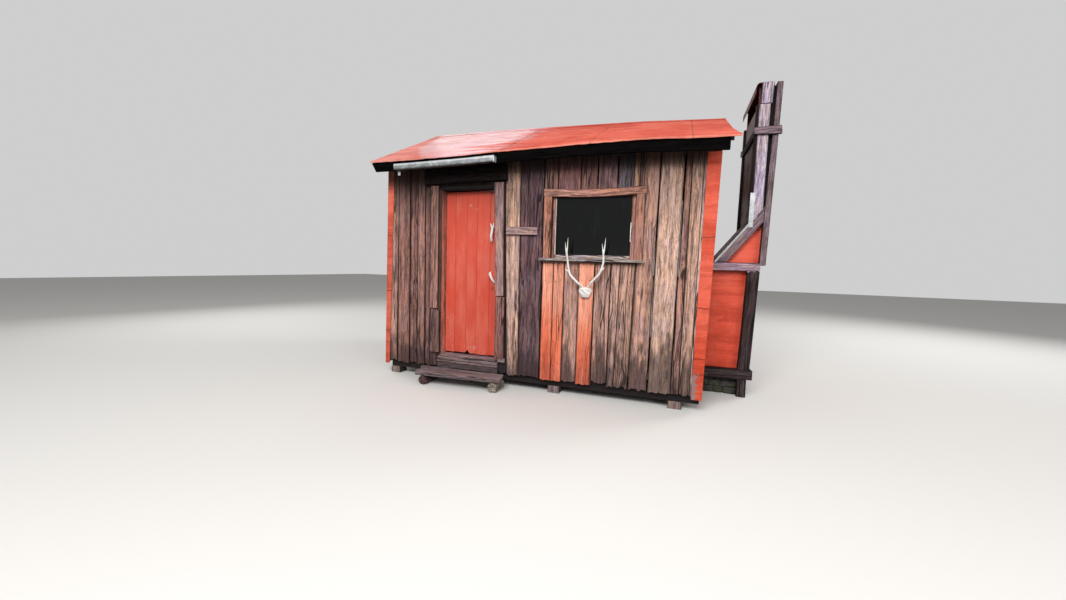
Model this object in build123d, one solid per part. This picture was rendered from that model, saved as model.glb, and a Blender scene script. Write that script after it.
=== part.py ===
from build123d import *
import math
import os

# Backcountry hut: a gabled room of upright split slabs on piles, with a timber and iron chimney
# on its right end. X runs along the front wall from its left corner, Y goes in from the front
# wall's face and Z goes up from the ground. Every size is in millimetres.

# Walls
hut_length = 3660.0
hut_depth = 2400.0
slab_thickness = 35.0
slab_bottom = 140.0
stud_depth = 90.0
stud_width = 45.0
plate_thickness = 50.0
sill_plate_thickness = 45.0
girt_height = 90.0
girt_level = 1190.0
back_stud_count = 5
end_stud_count = 3

# Floor
floor_top = 290.0
floor_thickness = 25.0
joist_depth = 90.0
joist_width = 45.0
joist_count = 7
bearer_height = 100.0
bearer_width = 100.0
pile_width = 130.0
pile_right_inset = 260.0

# Roof
roof_pitch = 25.0
eave_overhang = 217.0
verge_left = 72.0
verge_right = 155.0
iron_thickness = 3.0
eave_lip = 18.0
purlin_thickness = 45.0
purlin_width = 70.0
purlins_per_side = 4
rafter_depth = 70.0
rafter_width = 45.0
rafter_count = 5
birdsmouth = 15.0
ridge_board_thickness = 30.0
ridge_board_depth = 150.0
ridge_cap_leg = 120.0
ridge_cap_thickness = 2.0
fascia_thickness = 22.0
fascia_depth = 125.0
fascia_setback = 12.0
purlin_end_inset = 12.0

# Corner flashings
flashing_leg = 85.0
flashing_thickness = 2.0
flashing_bottom = 150.0
flashing_top_gap = 15.0

# Doorway and its frame
doorway_left = 755.0
doorway_width = 696.0
threshold_rise = 15.0
doorway_height = 1907.0
over_door_slabs = 247.0
jamb_thickness = 45.0
door_recess = 100.0
threshold_projection = 20.0
threshold_bottom = 140.0
threshold_low_projection = 14.0
header_left_reach = 205.0
header_right_reach = 124.0
header_lift = 58.0
header_height = 170.0
header_thickness = 50.0
casing_thickness = 30.0
casing_joint_level = 735.0
casing_joint_gap = 5.0
casing_foot_level = 30.0
upper_casing_width = 120.0
upper_casing_offset = 11.0
upper_casing_lean = 38.0
upper_casing_taper = 8.0
lower_casing_width = 107.0
lower_casing_offset = 14.0

# Door leaf
leaf_thickness = 30.0
leaf_hinge_gap = 6.0
leaf_latch_gap = 9.0
leaf_head_gap = 11.0
leaf_foot_gap = 13.0
leaf_joints = [122.0, 270.0, 403.0, 567.0]
leaf_groove = 4.0
ledge_height = 110.0
ledge_thickness = 25.0
ledge_inset = 30.0
low_ledge_level = 200.0
middle_ledge_level = 940.0
top_ledge_drop = 193.0
strap_height = 36.0
strap_thickness = 5.0
strap_length = 420.0
hinge_side_offset = 16.0
eye_radius = 11.0
pin_radius = 6.0
pin_clearance = 0.5
hinge_plate_height = 90.0
hinge_plate_width = 34.0
hinge_plate_thickness = 5.0
worn_width = 68.0
worn_height = 34.0
handle_reach = 170.0
handle_radius = 9.0
handle_stand_off = 36.0
upper_handle_level = 1314.0
upper_handle_inset = 85.0
lower_handle_level = 962.0
lower_handle_inset = 99.0
latch_width = 40.0
latch_height = 90.0
latch_thickness = 6.0
latch_level = 745.0
latch_inset = 55.0
latch_lift = 22.0

# Window
window_left = 2085.0
window_width = 855.0
window_level = 1170.0
window_height = 665.0
sash_width = 42.0
sash_thickness = 38.0
sash_recess = 12.0
sash_fit = 2.0
glass_thickness = 4.0
glass_rebate = 9.0
window_casing_width = 90.0
window_casing_thickness = 25.0
window_head_height = 62.0
window_head_bow = 9.0
window_sill_height = 28.0
window_sill_projection = 60.0
window_sill_horn = 120.0

# Patches on the slabs
patch_thickness = 25.0
patch_height = 85.0
patch_level = 240.0
patch_left_gap = 119.0
patch_right_gap = 155.0
low_patch_thickness = 28.0
low_patch_width = 133.0
low_patch_height = 510.0
low_patch_notch = 25.0

# Deer skull and antlers
skull_length = 133.0
skull_offset = 385.0
skull_drop = 267.0
antler_height = 490.0
antler_stand_off = 78.0

# Gutter over the door
gutter_left_reach = 465.0
gutter_length = 1230.0
gutter_depth = 60.0
gutter_width = 62.0
gutter_metal = 2.0
gutter_drop = 73.0
gutter_fall = 1.3
gutter_back_clearance = 0.3

# Step
step_left_reach = 255.0
step_right_reach = 129.0
step_top = 150.0
step_thickness = 46.0
step_front = -301.0
step_end_cut = 115.0
step_end_flare = 51.0
step_taper = 73.0
left_log_inset = 200.0
right_log_inset = 40.0
left_log_setback = 20.0
right_log_setback = 61.0

# Chimney
chimney_width = 900.0
frame_thickness = 80.0
chimney_bearer_bottom = 195.0
chimney_bearer_height = 105.0
chimney_reach = 530.0
chimney_post_width = 110.0
chimney_post_lean = 30.0
chimney_foot_width = 100.0
chimney_foot_inset = 50.0
wall_post_width = 50.0
rail_bottom = 1385.0
rail_height = 95.0
shoulder_start = 75.0
shoulder_pitch = 52.5
shoulder_board_width = 99.0
flue_inner_face = 410.0
flue_board_width = 105.0
flue_upright_width = 50.0
flue_upright_lean = 1.1
flue_upright_drop = 30.0
flue_top = 3340.0
flue_slot_drop = 105.0
flue_slot_height = 115.0
top_board_shift = 10.0
top_board_gap = 4.0
cap_overhang = 40.0
chimney_iron = 3.0
crossbar_drop = 535.0
crossbar_height = 85.0
crossbar_thickness = 30.0
crossbar_left_horn = 40.0
crossbar_right_horn = 60.0
flue_batten_width = 60.0
flue_batten_thickness = 22.0
flue_batten_inset = 8.0
edge_flashing_width = 45.0
edge_flashing_drop = 18.0
edge_flashing_thickness = 2.0
edge_flashing_rise = 300.0

# Worked out from the sizes above
pitch = math.radians(roof_pitch)
ridge_y = hut_depth / 2
wall_inner = slab_thickness + stud_depth
frame_right = hut_length - slab_thickness
frame_back = hut_depth - slab_thickness
doorway_right = doorway_left + doorway_width
doorway_bottom = floor_top + threshold_rise
doorway_top = doorway_bottom + doorway_height
header_bottom = doorway_top + header_lift
slab_top = doorway_top + jamb_thickness + over_door_slabs
roof_build_up = (rafter_depth + purlin_thickness) / math.cos(pitch)
eave_height = slab_top + roof_build_up - eave_overhang * math.tan(pitch)
window_bottom = floor_top + window_level
window_right = window_left + window_width
window_top = window_bottom + window_height
joist_top = floor_top - floor_thickness
joist_bottom = joist_top - joist_depth
bearer_bottom = joist_bottom - bearer_height
sill_plate_top = floor_top + sill_plate_thickness
rafter_tail = eave_overhang - fascia_setback - fascia_thickness
chimney_front = ridge_y - chimney_width / 2
chimney_back = ridge_y + chimney_width / 2
cheek_front = chimney_front + frame_thickness
cheek_back = chimney_back - frame_thickness
chimney_outer = hut_length + chimney_reach
post_head = chimney_outer - chimney_post_width
post_foot = post_head - chimney_post_lean
rail_top = rail_bottom + rail_height
hearth_top = chimney_bearer_bottom + chimney_bearer_height
shoulder_rise = math.tan(math.radians(shoulder_pitch))
shoulder_foot = hut_length + shoulder_start
step_back = -threshold_low_projection
step_left = doorway_left - step_left_reach
step_right = doorway_right + step_right_reach
step_log_radius = (step_top - step_thickness) / 2
flue_inner = hut_length + flue_inner_face
slot_top = flue_top - flue_slot_drop
slot_bottom = slot_top - flue_slot_height
crossbar_bottom = flue_top - crossbar_drop


def block(x0, x1, y0, y1, z0, z1):
    """A square-edged solid between two corners."""
    solid = Box(x1 - x0, y1 - y0, z1 - z0, align=(Align.MIN, Align.MIN, Align.MIN))
    return solid.moved(Location((x0, y0, z0)))


def along_x(outline, x0, x1):
    """A (y, z) outline carried along the hut from x0 to x1."""
    face = Plane.YZ.offset(x0) * Polygon(*outline, align=None)
    return extrude(face, amount=x1 - x0)


def along_y(outline, y0, y1):
    """An (x, z) outline carried into the hut from y0 to y1."""
    face = Plane.XZ.offset(-y1) * Polygon(*outline, align=None)
    return extrude(face, amount=y1 - y0)


def to_back(solid):
    """The same solid on the other side of the ridge."""
    return mirror(solid, about=Plane.XZ.offset(-ridge_y))


def both_sides(solids):
    """The solids with their copies behind the ridge."""
    return solids + [to_back(s) for s in solids]


def spread(first, last, count):
    """Evenly spaced places from first to last."""
    return [first + (last - first) * i / (count - 1) for i in range(count)]


def iron_underside(y):
    """Height of the roof iron's underside at a place y in from the front wall's face."""
    return eave_height + (min(y, hut_depth - y) + eave_overhang) * math.tan(pitch)


def under_purlins(y):
    """Height of the purlins' underside, where the rafters and the gables end."""
    return iron_underside(y) - purlin_thickness / math.cos(pitch)


def under_rafters(y):
    """Height of the rafters' underside."""
    return under_purlins(y) - rafter_depth / math.cos(pitch)


def shoulder_line(x):
    """Height of the sloped shoulder boards' upper edge."""
    return rail_top + (x - shoulder_foot) * shoulder_rise


plate_top = under_rafters(slab_thickness) + birdsmouth
plate_bottom = plate_top - plate_thickness


# Floor and its supports

def make_piles():
    """Short piles down to the ground: corner, doorway, window edge and near the right end."""
    half = pile_width / 2
    centre_x = [slab_thickness + half, (doorway_left + doorway_right) / 2, window_left + half,
                hut_length - pile_right_inset]
    centre_y = spread(slab_thickness + half, frame_back - half, 3)
    return [block(x - half, x + half, y - half, y + half, 0.0, bearer_bottom)
            for x in centre_x for y in centre_y]


def make_bearers():
    """Three bearers along the hut."""
    half = bearer_width / 2
    pile_half = pile_width / 2
    centre_y = spread(slab_thickness + pile_half, frame_back - pile_half, 3)
    return [block(slab_thickness, frame_right, y - half, y + half, bearer_bottom, joist_bottom)
            for y in centre_y]


def make_joists():
    """Joists across the bearers."""
    half = joist_width / 2
    return [block(x - half, x + half, slab_thickness, frame_back, joist_bottom, joist_top)
            for x in spread(slab_thickness + half, frame_right - half, joist_count)]


def make_floor():
    """The floor, out to the back of the slabs."""
    return [block(slab_thickness, frame_right, slab_thickness, frame_back, joist_top, floor_top)]


# Wall frame

def make_corner_posts():
    """A square post in each corner, between the plates."""
    front = [block(x, x + stud_depth, slab_thickness, wall_inner, sill_plate_top, plate_bottom)
             for x in (slab_thickness, frame_right - stud_depth)]
    return both_sides(front)


def make_plates():
    """Plates along the front and back walls, the lower front one broken at the doorway."""
    jamb_left = doorway_left - jamb_thickness
    jamb_right = doorway_right + jamb_thickness
    front = [
        block(slab_thickness, frame_right, slab_thickness, wall_inner, plate_bottom, plate_top),
        block(slab_thickness, jamb_left, slab_thickness, wall_inner, floor_top, sill_plate_top),
        block(jamb_right, frame_right, slab_thickness, wall_inner, floor_top, sill_plate_top),
    ]
    back = [
        to_back(front[0]),
        to_back(block(slab_thickness, frame_right, slab_thickness, wall_inner, floor_top,
                      sill_plate_top)),
    ]
    return front + back


def front_stud_places():
    """Left edges of the studs in the front wall."""
    jamb_left = doorway_left - jamb_thickness
    jamb_right = doorway_right + jamb_thickness
    left_bay = (slab_thickness + stud_depth + jamb_left - stud_width) / 2 - stud_width / 2
    right_bay = (window_right + stud_width + frame_right - stud_depth) / 2 - stud_width / 2
    return [left_bay, jamb_left - stud_width, jamb_right, window_left - stud_width,
            window_right, right_bay]


def end_stud_places():
    """Front edges of the studs in the left end wall."""
    inner = spread(wall_inner, hut_depth - wall_inner, end_stud_count + 2)[1:-1]
    return [y - stud_width / 2 for y in inner]


def back_stud_places():
    """Left edges of the studs in the back wall."""
    first = slab_thickness + stud_depth
    inner = spread(first, frame_right - stud_depth, back_stud_count + 2)[1:-1]
    return [x - stud_width / 2 for x in inner]


def make_studs():
    """Studs of all four walls, and the short one over the fireplace."""
    studs = [block(x, x + stud_width, slab_thickness, wall_inner, sill_plate_top, plate_bottom)
             for x in front_stud_places()]
    studs += [to_back(block(x, x + stud_width, slab_thickness, wall_inner, sill_plate_top,
                            plate_bottom)) for x in back_stud_places()]
    left_in = slab_thickness + stud_depth
    studs += [block(slab_thickness, left_in, y, y + stud_width, sill_plate_top, plate_bottom)
              for y in end_stud_places()]
    right_in = frame_right - stud_depth
    cheek = block(right_in, frame_right, cheek_front - stud_width, cheek_front,
                  sill_plate_top, plate_bottom)
    studs += both_sides([cheek])
    studs.append(block(right_in, frame_right, ridge_y - stud_width / 2, ridge_y + stud_width / 2,
                       rail_top, plate_bottom))
    return studs


def make_girts():
    """Level rails between the studs: at mid height, round the window, over the fireplace."""
    def front_rail(x0, x1, z0):
        return block(x0, x1, slab_thickness, wall_inner, z0, z0 + girt_height)

    left_in = slab_thickness + stud_depth
    right_in = frame_right - stud_depth
    places = front_stud_places()
    girts = [
        front_rail(left_in, places[0], girt_level),
        front_rail(places[0] + stud_width, places[1], girt_level),
        front_rail(places[2] + stud_width, places[3], girt_level),
        front_rail(window_left, window_right, window_bottom - girt_height),
        front_rail(window_left, window_right, window_top),
        front_rail(places[4] + stud_width, places[5], girt_level),
        front_rail(places[5] + stud_width, right_in, girt_level),
    ]
    starts = [left_in] + [x + stud_width for x in back_stud_places()]
    ends = back_stud_places() + [right_in]
    girts += [to_back(front_rail(x0, x1, girt_level)) for x0, x1 in zip(starts, ends)]
    starts = [wall_inner] + [y + stud_width for y in end_stud_places()]
    ends = end_stud_places() + [hut_depth - wall_inner]
    girts += [block(slab_thickness, left_in, y0, y1, girt_level, girt_level + girt_height)
              for y0, y1 in zip(starts, ends)]
    cheek = block(right_in, frame_right, wall_inner, cheek_front - stud_width,
                  girt_level, girt_level + girt_height)
    girts += both_sides([cheek])
    girts.append(block(right_in, frame_right, cheek_front, cheek_back, rail_bottom, rail_top))
    return girts


def make_end_ties():
    """Plates of the end walls, between the long ones: two below, two above."""
    left_in = slab_thickness + stud_depth
    right_in = frame_right - stud_depth
    back_in = hut_depth - wall_inner
    foot = block(right_in, frame_right, wall_inner, cheek_front, floor_top, sill_plate_top)
    return [
        block(slab_thickness, left_in, wall_inner, back_in, floor_top, sill_plate_top),
        block(slab_thickness, left_in, wall_inner, back_in, plate_bottom, plate_top),
        block(right_in, frame_right, wall_inner, back_in, plate_bottom, plate_top),
    ] + both_sides([foot])


# Walls of upright slabs

def make_front_left():
    """Slabs left of the door."""
    return [block(slab_thickness, doorway_left - jamb_thickness, 0.0, slab_thickness,
                  slab_bottom, slab_top)]


def make_front_over_door():
    """Short slabs over the door frame's head."""
    return [block(doorway_left - jamb_thickness, doorway_right + jamb_thickness, 0.0,
                  slab_thickness, doorway_top + jamb_thickness, slab_top)]


def make_front_right():
    """Slabs right of the door, with the window opening cut through."""
    wall = block(doorway_right + jamb_thickness, frame_right, 0.0, slab_thickness,
                 slab_bottom, slab_top)
    hole = block(window_left, window_right, -1.0, slab_thickness + 1.0, window_bottom, window_top)
    return [wall - hole]


def make_back():
    """Slabs of the back wall."""
    return [block(slab_thickness, frame_right, frame_back, hut_depth, slab_bottom, slab_top)]


def gable(x0):
    """A gabled end of upright slabs, from x0 to one slab's thickness beyond."""
    outline = [
        (0.0, slab_bottom),
        (hut_depth, slab_bottom),
        (hut_depth, under_purlins(hut_depth)),
        (ridge_y, under_purlins(ridge_y)),
        (0.0, under_purlins(0.0)),
    ]
    return along_x(outline, x0, x0 + slab_thickness)


def make_right_end():
    """The right gable, with the fireplace opening cut through."""
    hole = block(frame_right - 1.0, hut_length + 1.0, cheek_front, cheek_back, floor_top, rail_bottom)
    return [gable(frame_right) - hole]


def make_corner_flashings():
    """Folded iron on each upright corner."""
    top = slab_top - flashing_top_gap

    def corner(x_out, side):
        outer = x_out - side * flashing_thickness
        reach = x_out + side * flashing_leg
        front = block(min(outer, reach), max(outer, reach), -flashing_thickness, 0.0,
                      flashing_bottom, top)
        end = block(min(outer, x_out), max(outer, x_out), -flashing_thickness, flashing_leg,
                    flashing_bottom, top)
        return front + end

    return both_sides([corner(0.0, 1), corner(hut_length, -1)])


# Roof

def make_rafters():
    """Rafters with a seat cut over each plate."""
    near_ridge = ridge_y - ridge_board_thickness / 2
    outline = [
        (-rafter_tail, under_rafters(-rafter_tail)),
        (near_ridge, under_rafters(near_ridge)),
        (near_ridge, under_purlins(near_ridge)),
        (-rafter_tail, under_purlins(-rafter_tail)),
    ]
    half = rafter_width / 2
    seat = block(0.0, hut_length, slab_thickness, wall_inner, plate_bottom, plate_top)
    front = [along_x(outline, x - half, x + half) - seat
             for x in spread(slab_thickness + half, frame_right - half, rafter_count)]
    return both_sides(front)


def make_ridge_board():
    """The board that the rafters meet at."""
    half = ridge_board_thickness / 2
    top = under_purlins(ridge_y - half)
    return [block(slab_thickness, frame_right, ridge_y - half, ridge_y + half,
                  top - ridge_board_depth, top)]


def make_purlins():
    """Purlins along the hut, let out past both gables."""
    slope = (math.cos(pitch), math.sin(pitch))
    half = purlin_width / 2
    first = -rafter_tail + half * slope[0]
    last = ridge_y - half * slope[0] - purlin_thickness * slope[1] - eave_lip
    front = []
    for y in spread(first, last, purlins_per_side):
        z = iron_underside(y)
        low = (y - half * slope[0], z - half * slope[1])
        high = (y + half * slope[0], z + half * slope[1])
        drop = (purlin_thickness * slope[1], -purlin_thickness * slope[0])
        outline = [low, (low[0] + drop[0], low[1] + drop[1]),
                   (high[0] + drop[0], high[1] + drop[1]), high]
        front.append(along_x(outline, purlin_end_inset - verge_left,
                             hut_length + verge_right - purlin_end_inset))
    return both_sides(front)


def make_roof_iron():
    """One side's iron, with its lower edge turned down in front of the fascia."""
    rise = iron_thickness / math.cos(pitch)
    turned = -eave_overhang + iron_thickness
    outline = [
        (-eave_overhang, eave_height - eave_lip),
        (turned, eave_height - eave_lip),
        (turned, iron_underside(turned)),
        (ridge_y, iron_underside(ridge_y)),
        (ridge_y, iron_underside(ridge_y) + rise),
        (-eave_overhang, eave_height + rise),
    ]
    return along_x(outline, -verge_left, hut_length + verge_right)


def make_ridge_cap():
    """A folded cap over the meeting of the two sides."""
    rise = iron_thickness / math.cos(pitch)
    cap_rise = ridge_cap_thickness / math.cos(pitch)
    reach = ridge_cap_leg * math.cos(pitch)

    def over(y, extra):
        return (y, iron_underside(y) + rise + extra)

    outline = [
        over(ridge_y - reach, 0.0), over(ridge_y, 0.0), over(ridge_y + reach, 0.0),
        over(ridge_y + reach, cap_rise), over(ridge_y, cap_rise), over(ridge_y - reach, cap_rise),
    ]
    return [along_x(outline, -verge_left, hut_length + verge_right)]


def make_fascias():
    """A board along each eave, on the rafters' ends."""
    top = iron_underside(-rafter_tail - fascia_thickness)
    front = block(purlin_end_inset - verge_left, hut_length + verge_right - purlin_end_inset,
                  -rafter_tail - fascia_thickness, -rafter_tail, top - fascia_depth, top)
    return both_sides([front])


def make_gutter():
    """A short open gutter on the fascia that keeps drips off the door."""
    face = -rafter_tail - fascia_thickness - gutter_back_clearance
    back = face - gutter_metal
    front = face - gutter_width
    fascia_top = iron_underside(-rafter_tail - fascia_thickness)
    gutter_top = fascia_top - gutter_drop
    low = gutter_top - gutter_depth
    outline = [
        (face, gutter_top), (back, gutter_top), (back, low + gutter_metal),
        (front + gutter_metal, low + gutter_metal), (front + gutter_metal, gutter_top),
        (front, gutter_top), (front, low), (face, low),
    ]
    trough = along_x(outline, 0.0, gutter_length)
    ends = [block(x, x + gutter_metal, front, face, low, gutter_top)
            for x in (0.0, gutter_length - gutter_metal)]
    gutter = trough + ends[0] + ends[1]
    tilt = Location((doorway_left - gutter_left_reach, 0.0, gutter_top), (0.0, -gutter_fall, 0.0))
    return [gutter.moved(Location((0.0, 0.0, -gutter_top))).moved(tilt)]


# Doorway

def make_door_frame():
    """Two jambs and a head."""
    depth = door_recess + leaf_thickness
    left = block(doorway_left - jamb_thickness, doorway_left, 0.0, depth, doorway_bottom,
                 doorway_top)
    right = block(doorway_right, doorway_right + jamb_thickness, 0.0, depth, doorway_bottom,
                  doorway_top)
    head = block(doorway_left - jamb_thickness, doorway_right + jamb_thickness, 0.0, depth,
                 doorway_top, doorway_top + jamb_thickness)
    return [left + right + head]


def make_threshold():
    """Stacked boards under the door, the top one over the floor's edge."""
    left = doorway_left - jamb_thickness
    right = doorway_right + jamb_thickness
    third = (floor_top - threshold_bottom) / 3
    outline = [
        (slab_thickness, threshold_bottom),
        (slab_thickness, floor_top),
        (door_recess + leaf_thickness, floor_top),
        (door_recess + leaf_thickness, doorway_bottom),
        (-threshold_projection / 2, doorway_bottom),
        (-threshold_projection / 2, floor_top - third + 4.0),
        (-threshold_projection, floor_top - third),
        (-threshold_projection, floor_top - 2 * third + 4.0),
        (-threshold_low_projection, floor_top - 2 * third),
        (-threshold_low_projection, threshold_bottom),
    ]
    return [along_x(outline, left, right)]


def make_door_trim():
    """The header board and the two-piece casing beside the latch."""
    header = block(doorway_left - header_left_reach, doorway_right + header_right_reach,
                   -header_thickness, 0.0, header_bottom, header_bottom + header_height)
    joint = floor_top + casing_joint_level
    foot_left = doorway_right - upper_casing_offset
    head_left = foot_left - upper_casing_lean
    upper = along_y([(foot_left, joint + casing_joint_gap),
                     (foot_left + upper_casing_width, joint + casing_joint_gap),
                     (head_left + upper_casing_width + upper_casing_taper, header_bottom),
                     (head_left, header_bottom)],
                    -casing_thickness, 0.0)
    left = doorway_right + lower_casing_offset
    lower = block(left, left + lower_casing_width, -casing_thickness, 0.0,
                  floor_top + casing_foot_level, joint)
    return [header, upper, lower]


def leaf_corner():
    """The leaf's lower hinge-side corner, on its outer face."""
    return doorway_left + leaf_hinge_gap, door_recess, doorway_bottom + leaf_foot_gap


def leaf_size():
    """The leaf's width and height."""
    width = doorway_width - leaf_hinge_gap - leaf_latch_gap
    height = doorway_top - leaf_head_gap - doorway_bottom - leaf_foot_gap
    return width, height


def make_leaf():
    """The door leaf, grooved where its boards meet and worn away at the foot."""
    x, y, z = leaf_corner()
    width, height = leaf_size()
    leaf = block(x, x + width, y, y + leaf_thickness, z, z + height)
    for joint in leaf_joints:
        groove = block(x + joint - leaf_groove / 2, x + joint + leaf_groove / 2,
                       y - 1.0, y + leaf_groove, z - 1.0, z + height + 1.0)
        leaf -= groove
    worn_left = x + leaf_joints[1] - leaf_groove
    worn = along_y([(worn_left, z - 1.0), (worn_left + worn_width, z - 1.0),
                    (worn_left + worn_width * 0.7, z + worn_height * 0.8),
                    (worn_left + worn_width * 0.2, z + worn_height)],
                   y - 1.0, y + leaf_thickness + 1.0)
    return [leaf - worn]


def ledge_levels():
    """Heights of the ledges' middles over the leaf's foot."""
    width, height = leaf_size()
    return [low_ledge_level, middle_ledge_level, height - top_ledge_drop]


def make_ledges():
    """Three ledges across the leaf's inner face."""
    x, y, z = leaf_corner()
    width, height = leaf_size()
    face = y + leaf_thickness
    return [block(x + ledge_inset, x + width - ledge_inset, face, face + ledge_thickness,
                  z + level - ledge_height / 2, z + level + ledge_height / 2)
            for level in ledge_levels()]


def hinge_axis():
    """Where the hinge pins stand."""
    x, y, z = leaf_corner()
    return x - hinge_side_offset, y + leaf_thickness + ledge_thickness + strap_thickness / 2


def make_hinges():
    """Strap hinges on the top and bottom ledges, each with an eye over its pin."""
    pin_x, pin_y = hinge_axis()
    x, y, z = leaf_corner()
    face = y + leaf_thickness + ledge_thickness
    hinges = []
    for level in (ledge_levels()[0], ledge_levels()[-1]):
        low = z + level - strap_height / 2
        strap = block(pin_x, x + ledge_inset + strap_length, face, face + strap_thickness,
                      low, low + strap_height)
        eye = Cylinder(eye_radius, strap_height, align=(Align.CENTER, Align.CENTER, Align.MIN))
        bore = Cylinder(pin_radius + pin_clearance, strap_height,
                        align=(Align.CENTER, Align.CENTER, Align.MIN))
        place = Location((pin_x, pin_y, low))
        hinges.append(strap + eye.moved(place) - bore.moved(place))
    return hinges


def make_hinge_pins():
    """Pins on plates that are screwed to the jamb's inner face."""
    pin_x, pin_y = hinge_axis()
    x, y, z = leaf_corner()
    jamb_face = door_recess + leaf_thickness
    pins = []
    for level in (ledge_levels()[0], ledge_levels()[-1]):
        seat = z + level - strap_height / 2 - 1.0
        arm_low = seat - pin_radius * 2
        plate = block(doorway_left - jamb_thickness, doorway_left - jamb_thickness + hinge_plate_width,
                      jamb_face, jamb_face + hinge_plate_thickness,
                      arm_low - hinge_plate_height / 2, seat)
        arm = block(pin_x - pin_radius, pin_x + pin_radius, jamb_face, pin_y + pin_radius,
                    arm_low, seat)
        shank = Cylinder(pin_radius, strap_height + pin_radius,
                         align=(Align.CENTER, Align.CENTER, Align.MIN))
        pins.append(plate + arm + shank.moved(Location((pin_x, pin_y, seat))))
    return pins


def facet_ring(plane, wide, deep, sides):
    """A many-sided ring on a plane, wide and deep from its middle."""
    turn = 2 * math.pi / sides
    corners = [(wide * math.cos(turn * i), deep * math.sin(turn * i)) for i in range(sides)]
    return plane * Polygon(*corners, align=None)


def tapered_branch(points, radii):
    """A bent branch: a loft through a six-sided ring at each point."""
    rings = []
    for i, point in enumerate(points):
        before = Vector(*points[max(i - 1, 0)])
        after = Vector(*points[min(i + 1, len(points) - 1)])
        across = Plane(origin=point, z_dir=(after - before).normalized(), x_dir=(0.0, 1.0, 0.1))
        rings.append(facet_ring(across, radii[i], radii[i], 6))
    return loft(rings, ruled=True)


def make_door_handles():
    """Two pieces of antler bent out from the leaf beside its latch edge."""
    corner_x, face, corner_z = leaf_corner()
    latch_edge = corner_x + leaf_size()[0]
    out = face - handle_stand_off
    thick = handle_radius

    def points(inset, level, shape):
        return [(latch_edge - inset + handle_reach * across, face + (out - face) * forward,
                 corner_z + level + handle_reach * up) for across, forward, up in shape]

    upper = tapered_branch(points(upper_handle_inset, upper_handle_level,
                                  [(0.0, 0.0, 0.0), (0.0, 0.95, 0.1), (0.04, 1.2, 0.52),
                                   (0.09, 1.0, 0.86), (0.1, 0.0, 0.98)]),
                           [thick * s for s in (0.9, 1.0, 1.0, 0.9, 0.8)])
    fork = tapered_branch(points(upper_handle_inset, upper_handle_level,
                                 [(0.08, 1.05, 0.8), (0.03, 1.15, 0.98), (-0.03, 1.25, 1.2)]),
                          [thick * s for s in (0.8, 0.7, 0.35)])
    prong = tapered_branch(points(upper_handle_inset, upper_handle_level,
                                  [(0.09, 1.0, 0.84), (0.16, 1.15, 1.03), (0.21, 1.25, 1.21)]),
                           [thick * s for s in (0.8, 0.7, 0.35)])
    lower = tapered_branch(points(lower_handle_inset, lower_handle_level,
                                  [(0.0, 0.0, 0.0), (0.03, 0.95, -0.1), (0.15, 1.4, -0.34),
                                   (0.32, 1.1, -0.6), (0.42, 0.0, -0.71)]),
                           [thick * s for s in (0.9, 1.0, 1.0, 0.9, 0.8)])
    leaf_side = block(doorway_left, doorway_right, face, face + leaf_thickness,
                      doorway_bottom, doorway_top)
    return [upper + fork + prong - leaf_side, lower - leaf_side]


def make_door_latch():
    """A small iron plate with a thumb lift under the lower handle."""
    x, face, z = leaf_corner()
    right = x + leaf_size()[0] - latch_inset
    low = z + latch_level
    plate = block(right - latch_width, right, face - latch_thickness, face, low, low + latch_height)
    middle = low + latch_height / 2
    lift = block(right - latch_width / 2 - latch_thickness, right - latch_width / 2 + latch_thickness,
                 face - latch_thickness - latch_lift, face - latch_thickness,
                 middle, middle + latch_thickness)
    return [plate + lift]


# Window

def make_sash():
    """The window's fixed sash, rebated behind for its glass."""
    x0 = window_left + sash_fit
    x1 = window_right - sash_fit
    z0 = window_bottom
    z1 = window_top - sash_fit
    y0 = sash_recess
    y1 = y0 + sash_thickness
    frame = block(x0, x1, y0, y1, z0, z1)
    sight = block(x0 + sash_width, x1 - sash_width, y0 - 1.0, y1 + 1.0,
                  z0 + sash_width, z1 - sash_width)
    lip = sash_width - glass_rebate
    rebate = block(x0 + lip, x1 - lip, y0 + sash_thickness / 2, y1 + 1.0, z0 + lip, z1 - lip)
    return [frame - sight - rebate]


def make_glass():
    """One pane in the sash's rebate."""
    lip = sash_width - glass_rebate
    inset = sash_fit + lip
    y0 = sash_recess + sash_thickness / 2
    return [block(window_left + inset, window_right - inset, y0, y0 + glass_thickness,
                  window_bottom + lip, window_top - inset)]


def make_window_casings():
    """Boards down both sides of the window and a bowed one over it."""
    sides = [block(x, x + window_casing_width, -window_casing_thickness, 0.0,
                   window_bottom, window_top - window_head_bow)
             for x in (window_left - window_casing_width, window_right - sash_fit)]
    x0 = window_left - window_casing_width
    x1 = window_right + window_casing_width
    middle = (x0 + x1) / 2
    low = window_top
    high = window_top + window_head_height
    edge = Wire([
        Edge.make_three_point_arc((x0, 0, low), (middle, 0, low - window_head_bow), (x1, 0, low)),
        Edge.make_line((x1, 0, low), (x1, 0, high)),
        Edge.make_three_point_arc((x1, 0, high), (middle, 0, high - window_head_bow), (x0, 0, high)),
        Edge.make_line((x0, 0, high), (x0, 0, low)),
    ])
    head = extrude(Face(edge), amount=window_casing_thickness, dir=(0, -1, 0))
    return sides + [head]


def make_window_sill():
    """The ledge under the window."""
    horn = window_sill_horn
    return [block(window_left - horn, window_right + horn - 15.0, -window_sill_projection, 0.0,
                  window_bottom - window_sill_height, window_bottom)]


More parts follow.
